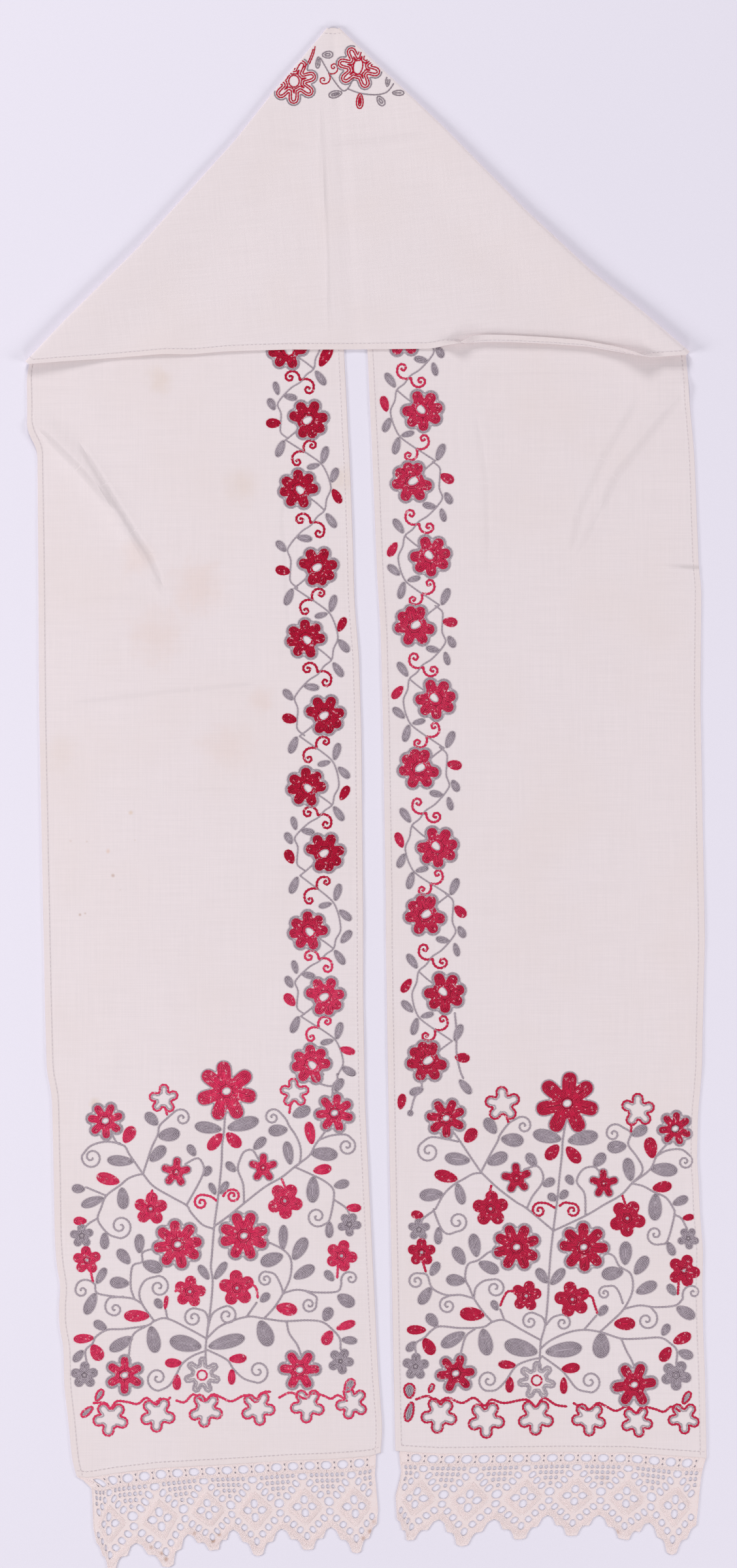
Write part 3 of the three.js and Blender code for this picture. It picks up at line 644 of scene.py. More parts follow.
def nearest_on_line(points, x, y):
    """Distance from a line of points, and how far along it the nearest place is, 0 to 1."""
    nearest = np.full(np.shape(x), 1e9)
    along = np.zeros(np.shape(x))
    steps = len(points) - 1
    for step in range(steps):
        start = np.array(points[step][:2], dtype=float)
        reach = np.array(points[step + 1][:2], dtype=float) - start
        part = ((x - start[0]) * reach[0] + (y - start[1]) * reach[1]) / (reach @ reach)
        part = np.clip(part, 0, 1)
        distance = np.hypot(x - start[0] - part * reach[0], y - start[1] - part * reach[1])
        closer = distance < nearest
        nearest = np.where(closer, distance, nearest)
        along = np.where(closer, (step + part) / steps, along)
    return nearest, along


def ridge_height(ridge, x, y):
    """Height of a soft ridge of changing width, fading with distance from its line."""
    distance, along = nearest_on_line(ridge, x, y)
    rows = [(index / (len(ridge) - 1), row[2], row[3]) for index, row in enumerate(ridge)]
    width = read(rows, along, 1)
    height = read(rows, along, 2)
    return height * np.exp(-((distance / width) ** 2))


def crease_height(creases, x, y):
    """Height that a list of creases adds, each fading towards its two ends."""
    total = np.zeros(np.shape(x))
    for width, height, points in creases:
        distance, along = nearest_on_line(points, x, y)
        taper = np.sin(np.pi * np.clip(along, 0.03, 0.97)) ** 0.5
        total += height * taper * np.exp(-((distance / width) ** 2))
    return total


def gentle_waves(x, y):
    """The slight unevenness of washed linen that has been laid flat by hand."""
    waves = np.sin(x / 31 + 1.3 * np.sin(y / 53)) * np.cos(y / 43 + 0.9)
    waves += 0.6 * np.sin(x / 13 + y / 37 + 2.1) * np.sin(y / 17 - x / 41)
    return WAVE_HEIGHT * waves


def panel_middle(x, y):
    """Height of the middle of the lower cloth."""
    ridges = [ridge_height(ridge, x, y) for ridge in (LEFT_RIDGE, RIGHT_RIDGE)]
    height = LOWER_MIDDLE + np.maximum(*ridges)
    height += crease_height(PANEL_CREASES, x, y)
    return height + gentle_waves(x, y)


def unit(vector):
    return np.asarray(vector, dtype=float) / np.linalg.norm(vector)


def heading_of(degrees):
    """A direction in the plane as a vector of length 1."""
    return np.array([math.cos(math.radians(degrees)), math.sin(math.radians(degrees))])


def fold_radius(fold, at):
    return fold["corner_radius"] + (fold["apex_radius"] - fold["corner_radius"]) * at


def fold_inset(fold, at):
    """How far a row beside a fold lies inside the straight line of that fold."""
    return read(fold["bow"], at) + fold_radius(fold, at)


def outside_fold(fold, x, y):
    """How far places lie outside the straight line of a fold, negative inside it."""
    outward = unit(fold["outward"])
    corner = fold["corner"]
    return (x - corner[0]) * outward[0] + (y - corner[1]) * outward[1]


def front_middle(x, y):
    """Height of the middle of the front layer, raised beside the two folds."""
    rise = np.zeros(np.shape(x))
    for fold in FOLDS:
        outward = unit(fold["outward"])
        corner = fold["corner"]
        along = np.abs((x - corner[0]) * outward[1] - (y - corner[1]) * outward[0])
        at = np.clip(along / np.linalg.norm(np.subtract(fold["apex"], corner)), 0, 1)
        loop_height = LOWER_MIDDLE + 2 * fold_radius(fold, at)
        beside = np.maximum(-outside_fold(fold, x, y) - fold_inset(fold, at), 0)
        rise = np.maximum(rise, (loop_height - FRONT_MIDDLE) * fade(beside, fold["reach"]))
    in_slot = np.clip((x - read_edge(LEFT_INNER_EDGE, y)) / SLOT_SAG_EDGE, 0, 1)
    in_slot *= np.clip((read_edge(RIGHT_INNER_EDGE, y) - x) / SLOT_SAG_EDGE, 0, 1)
    relief = crease_height(FRONT_CREASES, x, y) + gentle_waves(x + FRONT_WAVE_SHIFT, y)
    return FRONT_MIDDLE + rise + (relief - SLOT_SAG * in_slot)


def hem_profile(turn, out):
    """Places of the hem's points beside its hinge: out along the cloth, and up."""
    radius = HEM_BEND / turn
    bend = np.minimum(out, HEM_BEND) / radius
    beyond = np.maximum(out - HEM_BEND, 0)
    across = radius * np.sin(bend) + beyond * math.cos(turn)
    up = radius * (1 - np.cos(bend)) + beyond * math.sin(turn)
    return across, up


# A row's points: those of its outer hem, as distances from the hem's foot, and the others, as
# parts of the way from there to the inner edge
HEM_POINTS = np.array([11.6, 11.3, 10.9, 9.6, 7.4, 5.2, 4.2, 3.6, 2.7, 1.8, 0.9, 0.0])
BODY_PARTS = np.concatenate([
    np.linspace(0, 0.968, BODY_COLUMNS)[1:], [0.975, 0.98, 0.99, 0.997, 1.0],
])


def lay_row(across, height_at, turn_degrees=0.0, lift=0.0):
    """One row of the strip in space, from the free edge of its outer hem to its inner edge."""
    turn = math.radians(max(turn_degrees, FLATTEST_TURN))
    hem_out, hem_up = hem_profile(turn, HEM_POINTS)
    reach = hem_out.max() if turn >= math.pi / 2 else hem_out[0]
    edge = across(np.array([0.0]))[0]
    width = np.linalg.norm(edge - across(np.array([1.0]))[0])
    start = reach / width
    hinge = across(np.array([start]))[0]
    outward = unit(edge - hinge)
    hinge_height = height_at(hinge[:1], hinge[1:], np.array([start]))[0] + lift
    hem = np.column_stack([
        hinge[0] + outward[0] * hem_out,
        hinge[1] + outward[1] * hem_out,
        hinge_height + hem_up,
    ])
    at = start + (1 - start) * BODY_PARTS
    place = across(at)
    height = height_at(place[:, 0], place[:, 1], at)
    height = height + lift * fade((at - start) * width, EDGE_LIFT_REACH)
    return np.vstack([hem, np.column_stack([place, height])])


def row_between(outer, inner, folds):
    """The plan of one row, drawn in beside each fold that it lies near."""
    outer = np.asarray(outer, dtype=float)
    inner = np.asarray(inner, dtype=float)

    def across(at):
        place = outer + np.outer(at, inner - outer)
        for fold, weight in folds:
            place -= np.outer(weight * fold_inset(fold, at), unit(fold["outward"]))
        return place

    return across


def panel_row_heights(outer_edge, fold):
    """Where the rows of a panel start along its outer edge, from the end hem to the fold."""
    hem_y = outer_edge[0][1]
    fold_y = fold["corner"][1]
    straight = np.arange(hem_y + STRAIGHT_ROW_GAP, FAN_START_Y, STRAIGHT_ROW_GAP)
    fanned = np.arange(FAN_START_Y, fold_y, FANNED_ROW_GAP)
    hem_zone = hem_y + np.array([0, 0.8, 2.0, 3.5])
    return np.concatenate([hem_zone, straight, fanned, [fold_y]])


def panel_rows(outer_edge, inner_edge, end_sag, fold):
    """The rows of one hanging panel, level at its hem and fanning out to the slope of the fold."""
    hem_y = outer_edge[0][1]
    inner_hem_y = inner_edge[0][1]
    fold_y = fold["corner"][1]
    rows = []
    for y in panel_row_heights(outer_edge, fold):
        fanned = min(max((y - FAN_START_Y) / (fold_y - FAN_START_Y), 0), 1)
        straight = min(max((y - hem_y) / (FAN_START_Y - hem_y), 0), 1)
        if y < FAN_START_Y:
            inner_y = inner_hem_y + (FAN_START_Y - inner_hem_y) * straight
        else:
            inner_y = FAN_START_Y + (fold["apex"][1] - FAN_START_Y) * fanned
        outer = (float(read_edge(outer_edge, y)), y)
        inner = (float(read_edge(inner_edge, inner_y)), inner_y)
        weight = float(fade(1 - fanned, BOW_REACH))
        level = row_between(outer, inner, [(fold, weight)])
        sag_weight = float(fade(y - hem_y, END_SAG_REACH))

        def across(at, level=level, sag_weight=sag_weight):
            place = level(at)
            place[:, 1] += sag_weight * read(end_sag, at)
            return place

        rows.append(lay_row(across, lambda x, y_, at: panel_middle(x, y_)))
    return rows


def fold_rows(fold):
    """The rows round the loop of a fold, from the lower layer up to the front layer."""
    rows = []
    beside = row_between(fold["corner"], fold["apex"], [(fold, 1.0)])
    outward = unit(fold["outward"])
    for step in range(1, FOLD_ROWS):
        angle = math.pi * (step / FOLD_ROWS - 0.5)

        def across(at, angle=angle):
            return beside(at) + np.outer(fold_radius(fold, at) * math.cos(angle), outward)

        def height_at(x, y, at, angle=angle):
            loop = LOWER_MIDDLE + fold_radius(fold, at) * (1 + math.sin(angle))
            upper = 0.5 * (1 + math.sin(angle))
            relief = (1 - upper) * (panel_middle(x, y) - LOWER_MIDDLE)
            return loop + relief + upper * gentle_waves(x + FRONT_WAVE_SHIFT, y)

        rows.append(lay_row(across, height_at))
    return rows


def front_rows():
    """The rows of the front layer, which turn about the point from one fold to the other."""
    first = FRONT_EDGE[0][0]
    last = FRONT_EDGE[-1][0]
    rows = []
    for x in np.linspace(first, last, int((last - first) / FRONT_ROW_GAP)):
        part = (x - first) / (last - first)
        outer = (x, float(read(FRONT_EDGE, x, 1)))
        inner = (APEX_LEFT[0] + (APEX_RIGHT[0] - APEX_LEFT[0]) * part, APEX_LEFT[1])
        across = row_between(outer, inner, [
            (LEFT_FOLD, float(fade(part, BOW_REACH))),
            (RIGHT_FOLD, float(fade(1 - part, BOW_REACH))),
        ])
        turn = float(read(FRONT_EDGE, x, 3))
        lift = float(read(FRONT_EDGE, x, 2))
        rows.append(lay_row(across, lambda x_, y_, at: front_middle(x_, y_), turn, lift))
    return rows


def strip_places(left, left_fold, front, right_fold, right):
    """Where each point of the grid lies in the flat strip, for the weave: along, across."""
    def mirrored(points, fold):
        outward = unit(fold["outward"])
        inside = (points - np.array(fold["corner"], dtype=float)) @ outward
        return points - 2 * inside[..., None] * outward

    side = np.array([LEFT_OUTER_EDGE[-1][0], 0])
    left_places = left[..., :2] - side
    front_flat = mirrored(front[..., :2], LEFT_FOLD) - side
    turned = mirrored(mirrored(right[0, :, :2], RIGHT_FOLD), LEFT_FOLD) - side
    right_places = turned.mean(axis=0) - (right[..., :2] - right[0, :, :2].mean(axis=0))
    places = np.concatenate([
        left_places, blend_rows(left_places[-1], front_flat[0], len(left_fold)), front_flat,
        blend_rows(front_flat[-1], right_places[0], len(right_fold)), right_places,
    ])
    return places[..., ::-1]


def blend_rows(first, last, count):
    parts = np.arange(1, count + 1) / (count + 1)
    return first[None] + parts[:, None, None] * (last - first)[None]


# Each hanging panel's outer edge, inner edge, end and fold
PANELS = {
    "left": (LEFT_OUTER_EDGE, LEFT_INNER_EDGE, LEFT_END_SAG, LEFT_FOLD),
    "right": (RIGHT_OUTER_EDGE, RIGHT_INNER_EDGE, RIGHT_END_SAG, RIGHT_FOLD),
}


@lru_cache(maxsize=None)
def sheet_grid():
    """The middle surface of the folded strip as a grid of rows, and its places in the strip."""
    left, right = (np.array(panel_rows(*panel)) for panel in PANELS.values())
    left_fold, right_fold = (np.array(fold_rows(fold)) for fold in FOLDS)
    parts = (left, left_fold, np.array(front_rows()), right_fold[::-1], right[::-1])
    return np.concatenate(parts), strip_places(*parts)


def edge_distance(grid):
    """How far each point of the grid lies from the nearest edge of the strip, along the cloth."""
    nearest = np.full(grid.shape[:2], 1e9)
    for axis in (0, 1):
        steps = np.linalg.norm(np.diff(grid, axis=axis), axis=2)
        start = [(0, 0), (0, 0)]
        start[axis] = (1, 0)
        travelled = np.cumsum(np.pad(steps, start), axis=axis)
        total = travelled[-1:, :] if axis == 0 else travelled[:, -1:]
        nearest = np.minimum(nearest, np.minimum(travelled, total - travelled))
    return nearest


def grid_normals(grid):
    padded = np.pad(grid, ((1, 1), (1, 1), (0, 0)), mode="edge")
    along = padded[2:, 1:-1] - padded[:-2, 1:-1]
    across = padded[1:-1, 2:] - padded[1:-1, :-2]
    normals = np.cross(across, along)
    return normals / np.maximum(np.linalg.norm(normals, axis=2, keepdims=True), 1e-9)


def sheet_faces(rows, columns):
    """Quads of a closed sheet whose upper and lower grids have the same number of points."""
    index = np.arange(rows * columns).reshape(rows, columns)
    lower = index + rows * columns
    top = np.stack([index[:-1, :-1], index[:-1, 1:], index[1:, 1:], index[1:, :-1]], axis=-1)
    below = np.stack([lower[:-1, :-1], lower[1:, :-1], lower[1:, 1:], lower[:-1, 1:]], axis=-1)
    rims = []
    for line, under, flip in (
        (index[0], lower[0], True),
        (index[-1], lower[-1], False),
        (index[:, 0], lower[:, 0], False),
        (index[:, -1], lower[:, -1], True),
    ):
        rim = np.stack([line[:-1], line[1:], under[1:], under[:-1]], axis=-1)
        rims.append(rim[:, ::-1] if flip else rim)
    return np.concatenate([top.reshape(-1, 4), below.reshape(-1, 4), *rims])


def closed_up(path, closed):
    """A path as an array, with its first point again at the end where it is closed."""
    path = np.asarray(path, dtype=float)
    return np.vstack([path, path[:1]]) if closed else path


def resample(path, count, closed):
    """Even points along a path of straight pieces."""
    path = closed_up(path, closed)
    steps = np.linalg.norm(np.diff(path, axis=0), axis=1)
    travelled = np.concatenate([[0], np.cumsum(steps)])
    wanted = np.linspace(0, travelled[-1], count + 1)
    wanted = wanted[:-1] if closed else wanted
    return np.column_stack([np.interp(wanted, travelled, path[:, axis]) for axis in (0, 1)])


def path_length(path, closed=False):
    return float(np.linalg.norm(np.diff(closed_up(path, closed), axis=0), axis=1).sum())


def headings(spine, closed=False):
    """The way ahead and the way to the left at each point of a line."""
    if closed:
        ahead = np.roll(spine, -1, axis=0) - np.roll(spine, 1, axis=0)
    else:
        ahead = np.gradient(spine, axis=0)
    ahead /= np.maximum(np.linalg.norm(ahead, axis=1, keepdims=True), 1e-9)
    return ahead, np.column_stack([-ahead[:, 1], ahead[:, 0]])


def smooth_path(points):
    """A soft curve through given points."""
    points = np.asarray(points, dtype=float)
    if len(points) < 3:
        return points
    padded = np.vstack([2 * points[0] - points[1], points, 2 * points[-1] - points[-2]])
    curve = []
    for start in range(1, len(padded) - 2):
        before, here, there, after = padded[start - 1:start + 3]
        for part in np.arange(CURVE_STEPS) / CURVE_STEPS:
            curve.append(0.5 * (
                2 * here + (there - before) * part
                + (2 * before - 5 * here + 4 * there - after) * part ** 2
                + (3 * here - before - 3 * there + after) * part ** 3
            ))
    curve.append(points[-1])
    return np.array(curve)


def add_object(name, data):
    """Makes an object with its data and links it into the scene."""
    thing = bpy.data.objects.new(name, data)
    bpy.context.scene.collection.objects.link(thing)
    return thing


def add_piece(name, points, faces, material, attribute, values):
    """Makes a smooth piece in metres from points in millimetres, with one value at each point."""
    mesh = bpy.data.meshes.new(name)
    mesh.from_pydata((points * MM).tolist(), [], faces)
    mesh.materials.append(material)
    mesh.polygons.foreach_set("use_smooth", np.ones(len(mesh.polygons), dtype=bool))
    layer = mesh.attributes.new(attribute, "FLOAT", "POINT")
    layer.data.foreach_set("value", np.ascontiguousarray(values, dtype=np.float32))
    mesh.update()
    return add_object(name, mesh)


# Sections of a stem row and of a filling row: across, up, forward along the row
STEM_PROFILE = [(-1, 0, -1), (-0.52, 1, -0.4), (0, 0.42, 0.8), (0.52, 1, -0.4), (1, 0, -1)]
FILLING_PROFILE = [(-1, 0, -1), (-0.45, 1, 0.2), (0.45, 1, 0.2), (1, 0, -1)]
# Rows wider than this show the two strands of their loops
STRAND_WIDTH = 1.8
# Where a loop is wide and where it is narrow: reach to a side and height, as shares of the row's
WIDE_LOOP = (0.5, 1.0)
NARROW_LOOP = (0.34, 0.62)
# How far a section leans along its row, as a share of a stitch
LOOP_LEAN = 0.15
YARN_SIDES = 5
# Straight pieces between two points of a stem
CURVE_STEPS = 6
CURL_TURNS = 1.5
# How much more the rows of a leaf draw in at its ends than at its sides
LEAF_END_SHARE = 1.15


class ThreadWork:
    """Rows of thread laid on a surface, gathered into one mesh of closed bodies."""

    def __init__(self, surface, keep=None):
        self.surface = surface
        self.keep = keep
        self.points = []
        self.faces = []
        self.count = 0

    def add_body(self, sections, closed):
        """Joins sections, each a ring of points, into one closed body."""
        total, around = sections.shape[:2]
        index = self.count + np.arange(total * around).reshape(total, around)
        following = np.roll(index, -1, axis=0) if closed else index[1:]
        leading = index if closed else index[:-1]
        quads = np.stack([
            leading, following, np.roll(following, -1, axis=1), np.roll(leading, -1, axis=1),
        ], axis=-1)
        self.faces.extend(quads.reshape(-1, 4).tolist())
        if not closed:
            self.faces.append(index[0].tolist())
            self.faces.append(index[-1][::-1].tolist())
        self.points.append(sections.reshape(-1, 4))
        self.count += total * around

    def chain(self, path, closed, width, height, stitch):
        """One row of chain stitch: linked loops with a groove along the middle."""
        stitches = max(2 if closed else 1, round(path_length(path, closed) / stitch))
        spine = resample(path, 2 * stitches, closed)
        ahead, side = headings(spine, closed)
        wide = np.arange(len(spine)) % 2 == 1
        reach = width * np.where(wide, WIDE_LOOP[0], NARROW_LOOP[0])
        top = height * np.where(wide, WIDE_LOOP[1], NARROW_LOOP[1])
        sections = []
        for across, up, forward in STEM_PROFILE if width > STRAND_WIDTH else FILLING_PROFILE:
            forward_reach = LOOP_LEAN * stitch * forward
            place = spine + side * (reach * across)[:, None] + ahead * forward_reach
            sections.append(np.column_stack([place, top * up, top * up / height]))
        self.lay(np.stack(sections, axis=1), closed)

    def pad(self, outline, inner, thickness):
        """A thin layer of thread that closes the gaps under filling rows."""
        flat = np.zeros(len(outline))
        up = flat + thickness
        self.lay(np.stack([
            np.column_stack([outline, flat, flat]), np.column_stack([outline, up, flat]),
            np.column_stack([inner, up, flat]), np.column_stack([inner, flat, flat]),
        ], axis=1), True)

    def lay(self, sections, closed):
        """Sets flat sections down on the surface and leaves out what it does not carry."""
        flat = sections.reshape(-1, 4)
        ground = self.surface(flat[:, 0], flat[:, 1]).reshape(sections.shape[:2])
        sections = sections.copy()
        sections[..., 2] += ground
        if self.keep is None:
            self.add_body(sections, closed)
            return
        middle = sections.mean(axis=1)
        kept = self.keep(middle[:, 0], middle[:, 1])
        if kept.all():
            self.add_body(sections, closed)
            return
        if closed and kept.any():
            start = int(np.argmin(kept))
            sections = np.roll(sections, -start, axis=0)
            kept = np.roll(kept, -start)
        edges = np.flatnonzero(np.diff(np.concatenate([[0], kept.astype(int), [0]])))
        for start, end in zip(edges[::2], edges[1::2]):
            if end - start >= 2:
                self.add_body(sections[start:end], False)

    def cord(self, path, radius, closed=False, step=1.5, middle=0.0, knots=0.0, rise=0.0):
        """A round yarn along a path in the plane, with small knots where it is looped."""
        count = max(3, round(path_length(path, closed) / step))
        spine = resample(path, count, closed)
        side = headings(spine, closed)[1]
        thick = radius * (1 + knots * np.where(np.arange(len(spine)) % 2 == 0, 1, -1))
        lift = rise * np.sin(np.linspace(0, np.pi, len(spine)))
        sections = []
        for angle in 2 * np.pi * np.arange(YARN_SIDES) / YARN_SIDES:
            place = spine + side * (thick * math.cos(angle))[:, None]
            height = middle + lift - thick * math.sin(angle)
            up = np.full(len(spine), 0.5 - 0.5 * math.sin(angle))
            sections.append(np.column_stack([place, height, up]))
        self.lay(np.stack(sections, axis=1), closed)

    def build(self, name, material):
        """Makes the piece, with how far each point stands up its row as an attribute."""
        points = np.concatenate(self.points)
        return add_piece(name, points[:, :3], self.faces, material, "rise", points[:, 3])


def leaf_outline(x, y, length, width, axis, inset):
    """A leaf with a narrow foot and a round head, drawn in by an inset all round."""
    turn = np.linspace(0, 2 * np.pi, 28, endpoint=False)
    half_length = max(length / 2 - LEAF_END_SHARE * inset, 0.3)
    half_width = max(width / 2 - inset, 0.2)
    along = half_length * np.cos(turn)
    out = half_width * np.sin(turn) * (1 + 0.2 * np.cos(turn)) * (1 - 0.06 * np.cos(turn) ** 2)
    ahead = heading_of(axis)
    return np.column_stack([
        x + along * ahead[0] - out * ahead[1], y + along * ahead[1] + out * ahead[0],
    ])


def leaf_rows(x, y, length, width, axis, gap):
    """Rows of a leaf from its outline in to its rib, with True for a closed row."""
    rows = []
    inset = gap / 2
    while width / 2 - inset > 0.42 * gap:
        rows.append((leaf_outline(x, y, length, width, axis, inset), True))
        inset += gap
    rib = length / 2 - LEAF_END_SHARE * inset
    if rib > 0.8:
        reach = rib * heading_of(axis)
        middle = np.array([x, y])
        rows.append((np.array([middle - reach, middle + reach]), False))
    return rows


def footed(leaf, stem_points):
    """Turns a leaf about so that its narrow foot is the end nearest to a stem."""
    x, y, length, width, axis = leaf
    if not len(stem_points):
        return leaf
    reach = 0.5 * length * heading_of(axis)
    ends = [np.array([x, y]) + reach, np.array([x, y]) - reach]
    head, foot = (np.linalg.norm(stem_points - end, axis=1).min() for end in ends)
    return (x, y, length, width, axis if foot < head else axis + 180)


def petal_distance(x, y, angles, reach, petal_width, base):
    """Distance outside a flower of round-ended petals set about a disc; negative inside."""
    distance = np.hypot(x, y) - base
    for angle in angles:
        heading = heading_of(angle)
        along = np.clip(x * heading[0] + y * heading[1], 0, reach - petal_width)
        away = np.hypot(x - along * heading[0], y - along * heading[1])
        narrow = petal_width * (0.72 + 0.28 * along / (reach - petal_width))
        distance = np.minimum(distance, away - narrow)
    return distance


def petal_row(angles, reach, petal_width, base, level):
    """The closed line at one distance from a flower's edge, or None where there is none."""
    turn = np.linspace(0, 2 * np.pi, 120, endpoint=False)
    radius = np.linspace(0.0, reach + 6, 220)
    x = np.outer(np.cos(turn), radius)
    y = np.outer(np.sin(turn), radius)
    inside = petal_distance(x, y, angles, reach, petal_width, base) <= level
    if not inside[:, 0].any():
        return None
    last = inside.shape[1] - 1 - np.argmax(inside[:, ::-1], axis=1)
    best = radius[last]
    best = (np.roll(best, 1) + 2 * best + np.roll(best, -1)) / 4
    return np.column_stack([best * np.cos(turn), best * np.sin(turn)])


def petal_angles(petals, first_angle, rng):
    """Even petals, each a little out of place, as by hand."""
    spread = 360 / petals
    return [first_angle + spread * (petal + rng.uniform(-0.11, 0.11)) for petal in range(petals)]


def oval_outline(x, y, length, width, axis, count=40):
    """An oval as points at even turns about its middle."""
    turn = np.linspace(0, 2 * np.pi, count, endpoint=False)
    aside = turn - math.radians(axis)
    radius = 0.5 * length * width / np.hypot(width * np.cos(aside), length * np.sin(aside))
    return np.column_stack([x + radius * np.cos(turn), y + radius * np.sin(turn)])


def ring_rows(outer, inner, gap):
    """Closed rows that fill the space between two outlines, the outermost first."""
    reach = np.linalg.norm(outer - inner, axis=1).mean()
    count = max(1, round(reach / gap))
    return [outer + (inner - outer) * (row + 0.5) / count for row in range(count)]


def curl(start, middle, radius, turn):
    """A spiral that leaves a point, swings round its middle and winds in."""
    away = np.asarray(start, dtype=float) - middle
    parts = np.linspace(0, 1, 44)
    reach = np.interp(parts, [0, 0.22, 1], [np.linalg.norm(away), radius, 0.12 * radius])
    angle = math.atan2(away[1], away[0]) + turn * 2 * np.pi * CURL_TURNS * parts
    return middle + reach[:, None] * np.column_stack([np.cos(angle), np.sin(angle)])


def stem_path(stem):
    """A soft line through a stem's points, and the curl it ends in where its last row is one."""
    path = smooth_path([row for row in stem if len(row) == 2])
    if len(stem[-1]) == 2:
        return path
    *middle, radius = stem[-1]
    away = path[-1] - np.array(middle, dtype=float)
    heading = path[-1] - path[-2]
    turn = 1 if away[0] * heading[1] - away[1] * heading[0] > 0 else -1
    return np.vstack([path, curl(path[-1], middle, radius, turn)[1:]])


def scroll_path(middle, first, second, turn, radius):
    """Two curls wound opposite ways from one point."""
    out = curl(middle, np.asarray(first, dtype=float), radius, turn)
    back = curl(middle, np.asarray(second, dtype=float), radius, -turn)
    return np.vstack([out[::-1], back[1:]])


# Length, distance, width and height of the stitches that hold the hems, how far they sink in,
# and how far up its row each point of a stitch's end counts, which sets its painted groove shade
HEM_STITCH = 2.6
HEM_STITCH_GAP = 2.4
HEM_STITCH_WIDTH = 0.7
HEM_STITCH_RISE = 0.35
HEM_STITCH_DEPTH = 0.1
HEM_STITCH_TONES = [0.2, 1, 1, 0.2]
# How far the embroidery sinks into the cloth, how much higher the threads at the point lie,
# where the cloth under them is bent, and the thickness of the layer under filling rows
STITCH_DEPTH = 0.05
REVERSE_LIFT = 0.15
PAD_HEIGHT = 0.3
# Widths of other rows as shares of a stem's width
VINE_SHARE = 0.8
SCROLL_SHARE = 1.32
OUTER_LINE_SHARE = 1.2
# Flowers: grey rows round them, width and start of the petals as shares of their reach, the
# hole in the middle with its length, width and angle, and whether a grey ring lies round it
FLOWER_FORMS = {
    "small": (1, (0.25, 0.5), (2.4, 1.92, 20), False),
    "medium": (2, (0.225, 0.5), (8.0, 6.4, 20), True),
    "large": (1, (0.235, 0.44), (10.0, 8.0, 20), True),
    "plain": (0, (0.36, 0.62), (3.4, 3.4, 0), True),
    "grey": (0, (0.36, 0.58), (1.6, 1.6, 0), False),
}
HOLLOW_FORM = (0.36, 0.6)
DOUBLE_FORM = (0.25, 0.62)
BORDER_FORM = (0.265, 0.6)
REVERSE_FORM = (0.25, 0.55)
# How far the border goes on under the front layer, and how far the threads at the point stay
# from its tip and from the folds
HIDDEN_REACH = 12
TIP_MARGIN = 4
FOLD_MARGIN = 3.5
# A place in the slot between the two panels at their ends
SLOT_X = 20
# Sizes of the threads on the wrong side, as shares of those on the right side
REVERSE_SHARES = {"width": 1.12, "stem_width": 0.65, "height": 0.7, "gap": 1.6}


